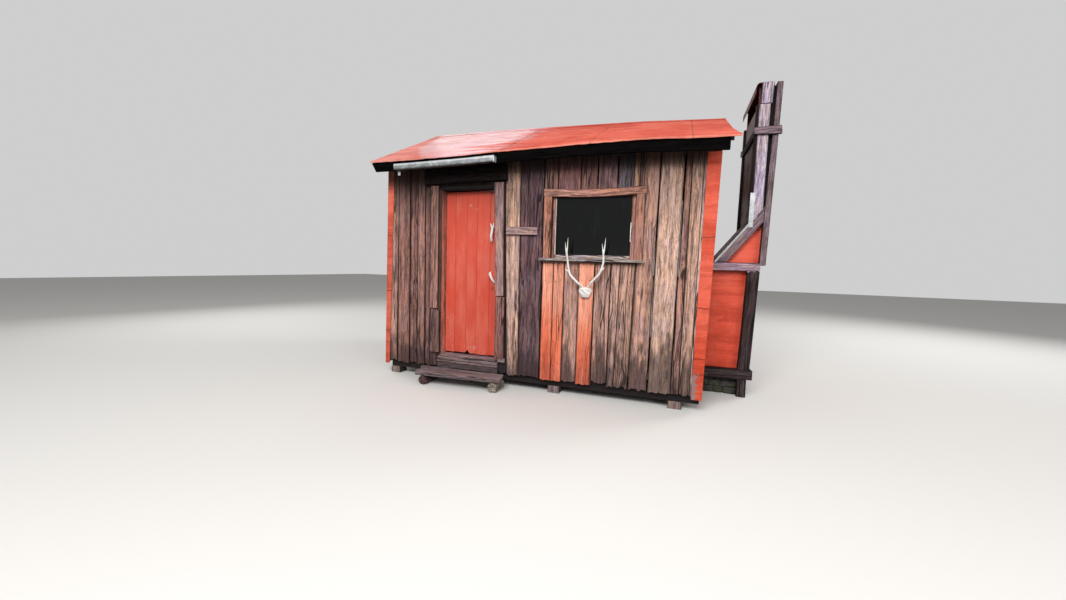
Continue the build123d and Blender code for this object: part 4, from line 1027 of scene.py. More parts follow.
class HUT_OT_front_wall(bpy.types.Operator):
    """The front wall's slabs, each leaning and ending as its own board"""
    bl_idname = "hut.front_wall"
    bl_label = "Front wall"

    def execute(self, context):
        look, rot = context.scene.hut_colours, context.scene.hut_sizes.foot_rot
        purple, brown, tan, dark = look.slab_purple, look.slab_brown, look.slab_tan, look.slab_dark
        top = SLAB_TOP
        left = [
            ((0.037, 0.134), (0.037, 0.166), 0.155, top, blend(brown, tan, 0.35), 0, 0.006, rot),
            ((0.150, 0.312), (0.172, 0.322), 0.140, top, brown, 0, 0.003, rot),
            ((0.320, 0.419), (0.336, 0.432), 0.150, top, blend(brown, purple, 0.3), 0, 0.007, rot),
            ((0.427, 0.531), (0.434, 0.528), 0.142, top, blend(brown, tan, 0.10), 0, 0.004, rot),
            ((0.540, 0.604), (0.534, 0.600), 0.146, top, blend(brown, purple, 0.5), 0, 0.008, rot),
            ((0.608, 0.708), (0.604, 0.708), 0.146, top, blend(brown, purple, 0.2), 0, 0.010, rot),
        ]
        over = [
            (foot, head, LINTEL_FOOT, top, blend(purple, dark, share), 0, front, 0)
            for foot, head, share, front in (
                ((0.712, 0.900), (0.712, 0.897), 0.5, 0.006), ((0.906, 1.105), (0.902, 1.110), 0.6, 0.004),
                ((1.111, 1.300), (1.115, 1.304), 0.5, 0.007), ((1.306, 1.494), (1.309, 1.494), 0.4, 0.005))
        ]
        sill_z = node_box("window_sash")[0].z - 0.002
        head_z = node_box("window_sash")[1].z + 0.003
        right = [
            ((1.498, 1.604), (1.498, 1.534), 0.150, top, dark, 0, 0.012, rot),
            ((1.609, 1.742), (1.540, 1.715), 0.142, top, blend(tan, brown, 0.18), 0, 0.000, rot),
            ((1.746, 1.983), (1.720, 1.981), 0.150, top, shade(92, 68, 72), 0, 0.003, rot),
            ((1.993, 2.083), (1.991, 2.083), sill_z, top, blend(brown, tan, 0.1), 0, 0.006, 0),
            ((2.086, 2.134), (2.085, 2.133), head_z, top, brown, 0, 0.006, 0),
            ((2.141, 2.374), (2.139, 2.372), head_z, top, shade(140, 98, 96), 0, 0.003, 0),
            ((2.381, 2.545), (2.380, 2.544), head_z, top, shade(136, 98, 92), 0, 0.006, 0),
            ((2.556, 2.744), (2.556, 2.742), head_z, top, shade(136, 102, 100), 0, 0.004, 0),
            ((2.756, 2.903), (2.757, 2.904), head_z, top, shade(100, 90, 98), 0, 0.008, 0),
            ((2.907, 2.958), (2.907, 2.960), head_z, top, shade(172, 134, 112), 0, 0.004, 0),
            ((2.961, 2.990), (2.963, 2.986), head_z, top, purple, 0, 0.012, 0),
            ((1.995, 2.115), (1.995, 2.115), 0.138, sill_z, brown, 1.0, 0.004, rot * 0.4),
            ((2.118, 2.233), (2.118, 2.232), 0.138, sill_z, brown, 1.0, 0.001, rot * 0.4),
            ((2.238, 2.390), (2.236, 2.391), 0.142, sill_z, blend(brown, tan, 0.3), 0, 0.008, rot),
            ((2.395, 2.550), (2.395, 2.549), 0.138, sill_z, brown, 1.0, 0.000, rot * 0.4),
            ((2.558, 2.718), (2.557, 2.716), 0.150, sill_z, blend(brown, tan, 0.35), 0, 0.006, rot * 2.2),
            ((2.724, 2.790), (2.724, 2.812), 0.146, sill_z, blend(brown, tan, 0.55), 0, 0.003, rot),
            ((2.794, 2.932), (2.813, 2.957), 0.146, sill_z, blend(brown, tan, 0.42), 0, 0.003, rot * 1.2),
            ((2.943, 3.122), (2.992, 3.148), 0.144, top, blend(brown, tan, 0.36), 0, 0.006, rot),
            ((3.138, 3.347), (3.158, 3.366), 0.140, top, blend(tan, brown, 0.04), -1.0, 0.000, rot),
            ((3.353, 3.426), (3.384, 3.432), 0.146, top, blend(brown, tan, 0.1), 0, 0.010, rot),
            ((3.430, 3.527), (3.436, 3.537), 0.146, top, blend(brown, tan, 0.62), 0, 0.004, rot),
            ((3.528, 3.622), (3.538, 3.622), 0.146, top, shade(184, 158, 148), 0, 0.004, rot),
        ]
        slabs("front_slabs_left", left, 11, "front_wall_left")
        slabs("front_slabs_over_door", over, 31, "front_wall_over_door")
        slabs("front_slabs_right", right, 41, "front_wall_right")
        heads = []
        for foot, head, low, high, _, _, front, _ in left + right:
            width = foot[1] - foot[0]
            for level in SLAB_NAIL_LEVELS:
                if low + 0.03 < level < high - 0.02 and width > 0.06:
                    x0, x1 = blend(foot, head, (level - low) / (high - low))
                    for side in ((0.25, 0.72) if width > 0.11 else (0.5,)):
                        chance = random.Random(round(x0 * 999 + level * 77 + side * 5))
                        heads.append((x0 + (x1 - x0) * (side + chance.uniform(-0.06, 0.06)), front - 0.0005,
                                      level + chance.uniform(-0.02, 0.02)))
        finish_piece(nail_heads("front_nails", heads), black_iron())
        return {"FINISHED"}


def chance_boards(chance, low, high, narrow=0.13, wide=0.23):
    """Random board edges from low to high."""
    edges = [low]
    while edges[-1] < high - wide * 1.4:
        edges.append(edges[-1] + chance.uniform(narrow, wide))
    edges.append(high)
    return list(zip(edges[:-1], edges[1:]))


def chance_tint(chance, look):
    """A slab's colour, mostly grey-brown."""
    pairs = ((look.slab_brown, look.slab_purple), (look.slab_brown, look.slab_tan),
             (look.slab_purple, look.slab_dark))
    return blend(*pairs[chance.choice((0, 0, 1, 1, 2))], chance.uniform(0.0, 0.55))


class HUT_OT_other_walls(bpy.types.Operator):
    """The back wall's and the gables' slabs, finished like the front"""
    bl_idname = "hut.other_walls"
    bl_label = "Back and end walls"

    def execute(self, context):
        look, sizes = context.scene.hut_colours, context.scene.hut_sizes
        chance = random.Random(sizes.chance)
        coarse = {"cell": 0.026, "step": 0.11, "relief": sizes.slab_relief}
        back = []
        for number, (x0, x1) in enumerate(chance_boards(chance, 0.037, HUT_LENGTH - SLAB - 0.002)):
            lean, out = chance.uniform(-0.003, 0.003), chance.uniform(0.0, 0.006)
            foot = (x0 + SLAB_GAP, x1 - SLAB_GAP)
            back.append(board(outline(foot, (SLAB_FOOT, SLAB_TOP), (foot[0] + lean, foot[1] + lean)),
                              (HUT_DEPTH - SLAB, HUT_DEPTH - out), tint=chance_tint(chance, look),
                              seed=100 + number, ragged=(sizes.foot_rot, 0.0), **coarse))
        boarded("back_slabs", back, "back_wall", 1.0)

        top = node_box("left_end_wall")[1].z
        peak = Vector((0.0, RIDGE_Y, top))
        gable = [(peak, Vector((0.0, way * ROOF_SLOPE, 1.0)).normalized()) for way in (-1, 1)]
        fire_front, fire_back = (corner.y for corner in node_box("chimney_cheeks"))
        mantel, floor = node_box("chimney_rails")[0].z, node_box("floor")[1].z
        for side, end in enumerate(("left_end", "right_end")):
            ends = []
            edges = chance_boards(chance, 0.0, HUT_DEPTH)
            if side:
                edges = [edge for span in ((0.0, fire_front), (fire_front, fire_back), (fire_back, HUT_DEPTH))
                         for edge in chance_boards(chance, *span)]
            for number, (y0, y1) in enumerate(edges):
                over_fire = side and fire_front - 0.01 < y0 and y1 < fire_back + 0.01
                out = chance.uniform(0.0, 0.005)
                tint = chance_tint(chance, look)
                depth = (HUT_LENGTH - SLAB, HUT_LENGTH - out) if side else (out, SLAB)
                for part, (z0, z1) in enumerate(((SLAB_FOOT, floor), (mantel, top)) if over_fire
                                                else ((SLAB_FOOT, top),)):
                    ends.append(board(outline((y0 + SLAB_GAP, y1 - SLAB_GAP), (z0, z1)), depth, SIDE_UPRIGHT,
                                      tint=tint, seed=(200, 300)[side] + number + 50 * part,
                                      ragged=(sizes.foot_rot if z0 < 0.2 else 0.0, 0.0),
                                      trims=gable if z1 == top else (), **coarse))
            piece = join(end + "_slabs", ends)
            settle_with_roof(piece, SLAB_FOOT)
            self.lean(piece, side)
            boarded(end + "_slabs", [piece], end + "_wall", 1.0)
        return {"FINISHED"}

    def lean(self, piece, side):
        """The front corners lean to the right: the end wall's outer face follows its flashing."""
        edit(piece)
        x_out = HUT_LENGTH if side else 0.0
        at_foot, more_at_top, height = -0.020, 0.044, 2.4
        rows, tall = 12, 0.22
        for y0, y1, share in ((-0.1, 0.2, 1.0), (0.2, 0.45, 0.6), (0.45, 0.72, 0.25)):
            for step in range(rows):
                z0, z1 = step * tall, (step + 1) * tall
                shift(lambda v: abs(v.co.x - x_out) < 0.012 and y0 <= v.co.y < y1 and z0 <= v.co.z < z1,
                      ((at_foot + more_at_top * (z0 + z1) / 2 / height) * share, 0.0, 0.0))
        leave()


# Roof

class HUT_OT_roof(bpy.types.Operator):
    """The roof's flat iron sheets, cap and nails, and the timbers under them"""
    bl_idname = "hut.roof"
    bl_label = "Roof"

    def execute(self, context):
        dents = context.scene.hut_sizes.iron_dents
        paint = painted_iron("roof_paint", 0.85, (0.10, 1.0, 1.0), "roof")
        for side, node in (("front", "roof_iron_front"), ("back", "roof_iron_back")):
            sheets = []
            for number, (x0, x1) in enumerate(zip(SHEET_EDGES[:-1], SHEET_EDGES[1:])):
                lap = 0.03 if number else 0.0
                z = EAVE_Z - 0.002 + 0.0012 * (number % 2)
                piece = sheet("roof_sheet", (x0 - lap, EAVE_Y + 0.001, z), (x1, RIDGE_Y, z),
                              (round((x1 - x0 + lap) / 0.06), 22))
                self.pitch(piece)
                if x1 == ROOF_RIGHT:
                    self.pull_in(piece)
                surface.roughen(piece, dents * 1.4, (0.55, 0.16, 0.3), seed=number + (9 if side == "back" else 0))
                surface.roughen(piece, dents * 0.5, (0.9, 0.05, 0.05), seed=number + 3)
                edit(piece)
                pick("EDGE", lambda e: all(v.co.y < EAVE_Y + 0.004 for v in e.verts))
                draw_out((0.0, 0.0, -0.016))
                bpy.ops.transform.vertex_random(offset=0.003, uniform=0.4, seed=number)
                leave()
                thicken(piece, 0.0025, -1.0)
                sheets.append(piece)
            iron = join("roof_sheets_" + side, sheets)
            if side == "back":
                front, iron = iron, mirrored_behind(iron)
                bpy.data.objects.remove(front)
                iron.name = "roof_sheets_back"
            settle_with_roof(iron)
            finish_piece(iron, paint, node)
        self.cap(dents, paint)
        self.nails(paint)
        for node, axis in (("rafters", 1), ("ridge_board", 0), ("purlins", 0)):
            piece = restated(node)
            if axis == 0:
                edit(piece)
                shift(lambda v: v.co.x > ROOF_RIGHT - 0.1, (-0.045, 0.0, 0.0))
                shift(everywhere, (0.0, 0.0, -0.007))
                leave()
            settle_with_roof(piece)
            soften(piece, 0.002)
            finish_piece(piece, sawn_wood("roof_timber_" + "xy"[axis], shade(74, 58, 46), axis), node)
        return {"FINISHED"}

    def pitch(self, piece):
        """Raises a flat sheet to the roof's slope, row by row towards the ridge."""
        edit(piece)
        rows = rows_of(piece)
        for row in rows[1:]:
            shift(lambda v: abs(v.co.y - row) < 1e-4,
                  (0.0, 0.0, ROOF_RISE * (row - rows[0]) / (rows[-1] - rows[0])))
        leave()

    def pull_in(self, piece):
        """Draws the last sheet's outer edge in, more towards the eaves."""
        edit(piece)
        for y in rows_of(piece):
            pull = 0.033 * min(1.0, (y - EAVE_Y) / 0.42) - 0.007 * max(0.0, y - 0.4)
            shift(lambda v: v.co.x > ROOF_RIGHT - 0.001 and abs(v.co.y - y) < 1e-4, (-pull, 0.0, 0.0))
        leave()

    def cap(self, dents, paint):
        """The folded cap over the ridge."""
        reach = RIDGE_Y - node_box("ridge_cap")[0].y
        z = RIDGE_Z + 0.001
        piece = sheet("ridge_capping", (ROOF_LEFT + 0.002, RIDGE_Y - reach, z),
                      (ROOF_RIGHT - 0.026, RIDGE_Y + reach, z), (60, 7))
        edit(piece)
        for share in (0.25, 0.5, 0.75, 1.0):
            shift(lambda v: abs(abs(v.co.y - RIDGE_Y) - reach * share) < reach * 0.13,
                  (0.0, 0.0, -reach * share * ROOF_SLOPE))
        leave()
        surface.roughen(piece, dents * 0.6, (0.3, 0.08, 0.1), seed=21)
        thicken(piece, 0.002, 1.0)
        settle_with_roof(piece)
        finish_piece(piece, paint, "ridge_cap")

    def nails(self, paint):
        """Painted-over nails along the sheets' laps and their lower edges."""
        chance = random.Random(5)
        spots = [(x + chance.uniform(-0.004, 0.004), (RIDGE_Y - EAVE_Y) * share)
                 for x in (ROOF_LEFT + 0.05, 0.645, 1.565, 2.485, 3.285, ROOF_RIGHT - 0.05)
                 for share in (0.03, 0.2, 0.36, 0.53, 0.7, 0.86)]
        spots += [(ROOF_LEFT + 0.12 + number * 0.235, 0.045) for number in range(17)]
        front = nail_heads("roof_nails", [(x, EAVE_Y + y, EAVE_Z + y * ROOF_SLOPE + 0.001) for x, y in spots],
                           (0.0, -ROOF_SLOPE, 1.0))
        piece = join("roof_nails", [front, mirrored_behind(front)])
        settle_with_roof(piece)
        finish_piece(piece, paint)


class HUT_OT_eaves(bpy.types.Operator):
    """Fascia boards and the short gutter over the door"""
    bl_idname = "hut.eaves"
    bl_label = "Fascias and gutter"

    def execute(self, context):
        low, high = node_box("fascia_boards")
        # The fascias are nearly black as painted shade under the roof's edge.
        dark = dim(context.scene.hut_colours.slab_dark, 0.07)
        near, far = low.y, low.y + 0.022
        under, over = high.z - 0.022, high.z - 0.012
        boards = [board(((low.z, 0.0), (under, low.x), (low.z, 3.728), (over, 3.728)), (near, far),
                        FRONT_LEVEL, tint=dark, seed=401, relief=0.003),
                  board(outline((low.z, under), (low.x, high.x), (low.z, over)), (HUT_DEPTH - far, HUT_DEPTH - near),
                        FRONT_LEVEL, tint=dark, seed=402, relief=0.003)]
        piece = join("fascias", boards)
        settle_with_roof(piece)
        finish_piece(piece, split_wood("shade_black_wood", 0.0, 0.0, 0.04), "fascia_boards")
        self.gutter()
        return {"FINISHED"}

    def gutter(self):
        """A folded trough, turned out along its front, closed at its ends."""
        low, high = node_box("door_gutter")
        fall = 0.028
        depth = high.z - low.z - fall
        z = low.z + 0.0005
        trough = sheet("gutter", (low.x + 0.002, low.y + 0.004, z), (high.x - 0.002, high.y - 0.002, z), (30, 3))
        edit(trough)
        pick("EDGE", lambda e: all(v.co.y > high.y - 0.003 for v in e.verts))
        draw_out((0.0, 0.0, depth - 0.002))
        pick("EDGE", lambda e: all(v.co.y < low.y + 0.005 for v in e.verts))
        draw_out((0.0, 0.0, depth - 0.004), (0.0, -0.004, 0.003), (0.0, 0.004, 0.003), (0.0, 0.004, -0.003))
        leave()
        surface.roughen(trough, 0.003, (0.2, 0.05, 0.05), seed=31)
        thicken(trough, 0.0014)
        ends = []
        for x in (low.x, high.x - 0.0015):
            end = block("gutter_end", (x, low.y + 0.003, z), (x + 0.0015, high.y - 0.001, z + depth - 0.001))
            edit(end)
            pick("FACE", lambda f: abs(f.normal.x) > 0.9)
            bpy.ops.mesh.inset(thickness=0.006)
            bpy.ops.transform.resize(value=(0.4, 1.0, 1.0), center_override=(x + 0.0007, low.y, z))
            leave()
            ends.append(end)
        tab = board(outline((low.x + 0.02, low.x + 0.05), (high.z - 0.14, high.z - 0.05),
                            (low.x + 0.015, low.x + 0.055)),
                    (high.y - 0.004, high.y - 0.002), cell=0.01, step=0.02, relief=0.002, edge=0.0004)
        strap = block("gutter_strap", (high.x - 0.12, low.y + 0.002, z + depth - 0.006),
                      (high.x - 0.098, high.y, z + depth - 0.002))
        edit(strap)
        pick("FACE", lambda f: f.normal.y < -0.9)
        bpy.ops.mesh.extrude_region_move(TRANSFORM_OT_translate={"value": (0.0, -0.0022, 0.0)})
        pick("FACE", lambda f: f.normal.z < -0.9 and f.calc_center_median().y < low.y + 0.002)
        bpy.ops.mesh.extrude_region_move(TRANSFORM_OT_translate={"value": (0.0, 0.0, -0.02)})
        leave()
        piece = join("gutter", [trough, *ends, tab, strap])
        edit(piece)
        parts = 24
        for step in range(parts):
            x0, x1 = (low.x + (high.x - low.x) * number / parts + more
                      for number, more in ((step, 0.0 if step else -0.01),
                                           (step + 1, 0.01 if step == parts - 1 else 0.0)))
            share = (step + 0.5) / parts
            shift(lambda v: x0 <= v.co.x < x1, (0.0, 0.0, fall * share - 0.004 * math.sin(math.pi * share)))
        leave()
        finish_piece(piece, zinc("gutter_zinc", 0.55), "door_gutter")


class HUT_OT_flashings(bpy.types.Operator):
    """Painted iron folded over the four upright corners"""
    bl_idname = "hut.flashings"
    bl_label = "Corner flashings"

    def execute(self, context):
        sizes = context.scene.hut_sizes
        paint = painted_iron("flashing_paint", 0.35, (0.13, 0.13, 1.0), "corner")
        leg = 0.085
        pieces = []
        for side, foot, head, z0 in ((0, (-0.024, 0.036), (0.018, 0.105), 0.118),
                                     (1, (3.546, 3.643), (3.563, 3.684), 0.128)):
            front = sheet("flashing", (foot[0], -0.004, z0), (foot[1], -0.004, FLASHING_TOP), (44, 5), True,
                          (head[0] - foot[0], head[1] - foot[1]))
            pieces.append(self.folded(front, sizes, 51 + side, 1, lambda v: abs(
                v.co.x - foot[side] - (head[side] - foot[side]) * (v.co.z - z0) / (FLASHING_TOP - z0)) < 0.002))
        for side, x0, x1 in ((0, -0.004, leg), (1, HUT_LENGTH - leg, HUT_LENGTH + 0.002)):
            y = HUT_DEPTH + 0.004
            back = sheet("flashing", (x0, y, 0.14), (x1, y, FLASHING_TOP), (44, 4), True)
            pieces.append(self.folded(back, sizes, 53 + side, -1, lambda v: abs(v.co.x - (x0, x1)[side]) < 0.001))
        finish_piece(join("corner_irons", pieces), paint, "corner_flashings")
        heads = [(foot + (head - foot) * (z - 0.13) / 2.35 + side, -0.0065, z + 0.013 * number % 0.03)
                 for foot, head, side in ((-0.024, 0.018, 0.045), (3.546, 3.563, 0.02), (3.546, 3.563, 0.09))
                 for number, z in enumerate((0.2, 0.52, 0.86, 1.22, 1.60, 1.95, 2.3))]
        finish_piece(nail_heads("flashing_nails", heads), paint)
        return {"FINISHED"}

    def folded(self, piece, sizes, seed, way, outer):
        """Folds a flashing's outer edge round the corner and dents and creases the iron."""
        edit(piece)
        pick("EDGE", lambda e: all(outer(v) for v in e.verts))
        draw_out(*((0.0, step * way, 0.0) for step in (0.012, 0.034, 0.04)))
        leave()
        surface.roughen(piece, sizes.iron_dents * 0.7, (0.2, 0.2, 0.16), seed=seed)
        surface.roughen(piece, sizes.iron_dents * 0.4, (0.5, 0.5, 0.03), seed=seed + 7)
        thicken(piece, 0.0016)
        return piece


# Doorway

class HUT_OT_doorway(bpy.types.Operator):
    """The door's frame, header, casings and stacked threshold"""
    bl_idname = "hut.doorway"
    bl_label = "Doorway"

    def execute(self, context):
        look = context.scene.hut_colours
        low, high = node_box("door_frame")
        jamb = 0.045
        under = high.z - jamb
        # The head board is nearly black and the frame takes the full eave darkening: painted shade in the door's head
        # recess.
        boarded("door_frame_timbers", [
            board(outline((0.003, high.y - 0.001), (low.z, under)), (low.x, low.x + jamb), SIDE_UPRIGHT,
                  tint=shade(168, 118, 100), seed=501, relief=0.004),
            board(outline((high.x - jamb, high.x), (low.z, under)), (0.002, high.y), tint=look.slab_brown,
                  seed=502, relief=0.003),
            board(outline((under, high.z), (low.x, high.x)), (0.006, high.y), FRONT_LEVEL, tint=look.slab_dark,
                  seed=503, relief=0.003),
        ], "door_frame", eave_grime_and_shade=1.0)
        low, high = node_box("door_trim")
        foot = high.z - 0.170
        # The lintel is darkened as painted shade under the eave.
        lintel = board(((foot - 0.004, low.x), (high.z, low.x - 0.004), (foot + 0.014, high.x),
                        (high.z + 0.004, high.x - 0.006)), (low.y, -0.004), FRONT_LEVEL,
                       tint=dim(look.slab_dark, 0.6), seed=504, relief=0.004)
        finish_piece(lintel, split_wood("shade_black_wood", 0.0, 0.0, 0.04), "door_trim")
        boarded("door_casings", [
            board(outline(foot, ends, head), (front, 0.0), tint=tint, seed=505 + number, relief=0.004,
                  ragged=(rot, 0))
            for number, (foot, ends, head, front, tint, rot) in enumerate((
                ((1.463, 1.562), (1.032, 2.268), (1.423, 1.536), -0.030, shade(146, 117, 114), 0),
                ((1.472, 1.577), (0.322, 1.022), (1.468, 1.574), -0.030, shade(130, 92, 86), 0.012),
                ((0.616, 0.722), (0.846, 2.262), (0.618, 0.722), -0.018,
                 blend(look.slab_brown, look.slab_tan, 0.12), 0)))
        ], "door_trim", eave_grime_and_shade=0.6)
        self.threshold(look.step_grey)
        return {"FINISHED"}

    def threshold(self, grey):
        """Rough boards lying on each other under the door."""
        low, high = node_box("door_threshold")
        y, left, right = low.y, 0.728, 1.494
        boards = [
            board(corners, depth, FLAT_LONG, tint=dim(grey, light), seed=511 + number, relief=relief, cell=cell)
            for number, (corners, depth, light, relief, cell) in enumerate((
                (((y + 0.003, 0.738), (0.128, 0.716), (y + 0.006, 1.470), (0.128, 1.490)), (0.284, high.z),
                 0.95, 0.005, 0.03),
                (outline((y + 0.001, 0.060), (left, right)), (0.246, 0.277), 0.95, 0.006, 0.02),
                (outline((y + 0.008, 0.060), (0.716, right), (y + 0.005, 0.060)), (0.216, 0.239), 0.95, 0.006, 0.02),
                (outline((y + 0.010, 0.034), (0.722, right)), (0.150, 0.209), 0.45, 0.008, 0.02)))
        ]
        boards.append(board(outline((0.286, 0.336), (1.500, 1.588), (0.284, 0.338)), (-0.026, 0.0), FRONT_LEVEL,
                            tint=grey, seed=515, relief=0.005))
        boarded("threshold_boards", boards, "door_threshold", 0.25, 0.5)


class HUT_OT_door(bpy.types.Operator):
    """The door's painted boards, ledges, hinges, latch and antler handles"""
    bl_idname = "hut.door"
    bl_label = "Door"

    def execute(self, context):
        look = context.scene.hut_colours
        low, high = node_box("door_leaf")
        joints = [low.x, low.x + 0.122, low.x + 0.270, low.x + 0.403, low.x + 0.567, high.x]
        spans = list(zip(joints[:-1], joints[1:]))
        boards = []
        for number, (x0, x1) in enumerate(spans):
            front = low.y + (0.0, 0.0015, 0.0, 0.001, 0.0005)[number]
            foot = low.z + (0.004, 0.008, 0.004, 0.0, 0.006)[number]
            piece = board(outline((x0 + 0.0013, x1 - 0.0013), (foot, high.z)), (front, high.y),
                          tint=look.door_paint, seed=600 + number, relief=0.0022, edge=0.0022, cell=0.014)
            if number == 2:
                edit(piece)
                for x, lift in ((x0 + 0.034, 0.012), (x0 + 0.020, 0.026), (x0 + 0.008, 0.014)):
                    shift(lambda v: v.co.z < foot + 0.02 and abs(v.co.x - x) < 0.012, (0.0, 0.0, lift))
                leave()
            boards.append(piece)
        finish_piece(join("door_boards", boards), door_red(), "door_leaf", "door")
        self.ledges(low.z, look.frame_wood)
        self.ironwork()
        self.handles(Vector((high.x, low.y, low.z)))
        heads = [((x0 + x1) / 2 + 0.013 * math.sin(z * 40 + x0 * 30), low.y + 0.0004, z)
                 for z in (0.493, 0.543, 1.20, 1.26, 1.98, 2.03) for x0, x1 in spans]
        finish_piece(nail_heads("door_nails", heads, radius=0.003), door_red(), body="door")
        return {"FINISHED"}

    def ledges(self, leaf_foot, tint):
        """Three boards across the inner face."""
        low, high = node_box("door_ledges")
        height = 0.110
        boards = []
        for number, level in enumerate((0.200, 0.940, 2.063 - leaf_foot - height / 2)):
            z = leaf_foot + level - height / 2
            boards.append(board(outline((z, z + height), (low.x, high.x)), (low.y + 0.0008, high.y - 0.0008),
                                FRONT_LEVEL, tint=tint, seed=620 + number, relief=0.0015))
        boarded("ledge_boards", boards, "door_ledges", body="door")

    def ironwork(self):
        """The strap hinges, pins and latch keep their shape, with softened edges."""
        coral = rusty_iron("latch_iron", "door_paint", 0.7)
        for node, material, body in (("door_hinges", black_iron(), "door"), ("hinge_pins", black_iron(), "hut"),
                                     ("door_latch", coral, "door")):
            piece = restated(node)
            if node == "door_latch":
                edit(piece)
                squash(everywhere, (0.7, 0.5, 0.6), (1.380, 0.100, 1.118))
                leave()
            soften(piece, 0.0012, 2)
            finish_piece(piece, material, node, body)

    def handles(self, edge):
        """Two bent pieces of antler, placed from the leaf's lower right corner."""
        reach, out = 0.170, 0.036

        def bent(inset, level, shape, radii):
            return branch([(edge.x - inset + reach * across, edge.y - out * forward, edge.z + level + reach * up)
                           for across, forward, up in shape], radii)

        tines = ([(0.07, 0.95, 0.74), (0.03, 1.15, 0.96), (-0.04, 1.25, 1.2)],
                 [(0.08, 0.95, 0.80), (0.14, 1.1, 1.0), (0.19, 1.25, 1.21)])
        parts = [bent(0.085, 1.314, [(0, -0.1, 0), (0, 0.6, 0.02), (0.01, 1.1, 0.3), (0.04, 1.15, 0.6),
                                     (0.08, 0.9, 0.88), (0.1, -0.1, 0.98)],
                      [0.012, 0.0145, 0.015, 0.015, 0.0145, 0.012]),
                 *(bent(0.085, 1.314, tine, [0.013, 0.0105, 0.005]) for tine in tines),
                 bent(0.099, 0.962, [(-0.01, -0.1, 0.02), (0.0, 0.7, -0.01), (0.11, 1.0, -0.24),
                                     (0.25, 1.0, -0.47), (0.36, 0.7, -0.64), (0.42, -0.1, -0.72)],
                      [0.012, 0.0155, 0.0145, 0.0135, 0.0125, 0.010])]
        melted("antler_handles", parts, 0.0022, (0.012, 0.012, 0.03), 61, edge.y - 0.0004,
               antler("handle_bone", "bone", "bone"), "door_handles", "door")


# Window

class HUT_OT_window(bpy.types.Operator):
    """The window's sash, glass, casings and sill"""
    bl_idname = "hut.window"
    bl_label = "Window"

    def execute(self, context):
        look = context.scene.hut_colours
        low, high = node_box("window_sash")
        stile = 0.042
        inner = (low.x + stile, high.x - stile)
        pale, brown = shade(176, 164, 158), look.casing_brown
        sash = [board(outline(wide, long), (low.y, high.y), axes, tint=tint, seed=701 + number, relief=0.002,
                      cell=0.012)
                for number, (wide, long, axes, tint) in enumerate((
                    ((low.x, inner[0]), (low.z, high.z), FRONT_UPRIGHT, brown),
                    ((inner[1], high.x), (low.z, high.z), FRONT_UPRIGHT, brown),
                    ((low.z, low.z + stile), inner, FRONT_LEVEL, pale),
                    ((high.z - stile, high.z), inner, FRONT_LEVEL, look.slab_dark)))]
        sash += [board(outline(wide, long), (low.y + near, low.y + far), tint=tint, seed=705 + number,
                       relief=0.001, cell=0.008, edge=0.001)
                 for number, (wide, long, near, far, tint) in enumerate((
                     ((low.x + 0.028, low.x + 0.042), (low.z + stile, high.z - stile), -0.004, 0.010, pale),
                     ((high.x - 0.046, high.x - 0.038), (1.640, 1.832), -0.003, 0.006, look.bone)))]
        boarded("sash_bars", sash, "window_sash", 0.0, 0.5)
        low, high = node_box("window_glass")
        pane = block("pane", low, high)
        edit(pane)
        pick("FACE", lambda f: abs(f.normal.y) > 0.9)
        bpy.ops.mesh.inset(thickness=0.004)
        divide(lambda e: abs(run(e).x) > 0.9 and abs(e.verts[0].co.z - (low.z + high.z) / 2) > 0.25, 5)
        leave()
        finish_piece(pane, dark_pane(), "window_glass", smooth=0)
        self.casings(look)
        return {"FINISHED"}

    def casings(self, look):
        """Boards down both sides, a bowed one over them and the ledge below."""
        brown = look.casing_brown
        head = (2.106, 2.184), (1.993, 3.031)
        trim = [
            board(outline((1.998, 2.082), (1.462, 2.112), (1.996, 2.084)), (-0.024, 0.0),
                  tint=blend(brown, shade(186, 106, 76), 0.15), seed=711, relief=0.004),
            board(outline((2.938, 3.026), (1.456, 2.110), (2.940, 3.022)), (-0.024, 0.0), tint=dim(brown, 0.72),
                  seed=712, relief=0.004),
            board(outline(*head), (-0.026, -0.001), FRONT_LEVEL, tint=brown, seed=713, relief=0.005),
        ]
        edit(trim[-1])
        start, bow, length, part = head[1][0], 0.020, 1.038, 0.0663
        for step in range(16):
            x0, x1 = 1.98 + step * part, 1.98 + (step + 1) * part
            along = min(max((x0 + x1) / 2 - start, 0.0), length) / length
            shift(lambda v: x0 <= v.co.x < x1, (0.0, 0.0, -bow * math.sin(math.pi * along)))
        leave()
        boarded("window_boards", trim, "window_casings", 0.0, 0.3)
        low, high = node_box("window_sill")
        boarded("sill_ledge", [
            board(outline((low.y, 0.0), (low.x, high.x), (low.y + 0.004, 0.0)), (low.z + 0.004, high.z), FLAT_LONG,
                  tint=shade(172, 160, 156), seed=714, relief=0.004, cell=0.02),
            board(outline((1.418, 1.434), (1.985, 2.960), (1.420, 1.435)), (-0.030, -0.002), FRONT_LEVEL,
                  tint=look.slab_purple, seed=715, relief=0.003, cell=0.01),
        ], "window_sill", 0.0, 0.6)


class HUT_OT_patches(bpy.types.Operator):
    """The batten over two slabs and the notched board beside the door"""
    bl_idname = "hut.patches"
    bl_label = "Patches"

    def execute(self, context):
        boarded("patch_boards", [
            board(outline((1.706, 1.790), (1.572, 1.930), (1.702, 1.786)), (-0.025, -0.001), FRONT_LEVEL,
                  tint=shade(146, 121, 119), seed=721, relief=0.006),
            board(outline((0.622, 0.752), (0.322, 0.826), (0.650, 0.752)), (-0.028, -0.001),
                  tint=shade(108, 82, 77), seed=722, relief=0.008, ragged=(0.008, 0.012)),
        ], "wall_patches", 0.0, 0.5)
        heads = [(x, -0.0255, z) for x, z in ((1.60, 1.75), (1.66, 1.742), (1.84, 1.745), (1.90, 1.738))]
        finish_piece(nail_heads("patch_nails", heads), black_iron())
        return {"FINISHED"}


# Skull and antlers

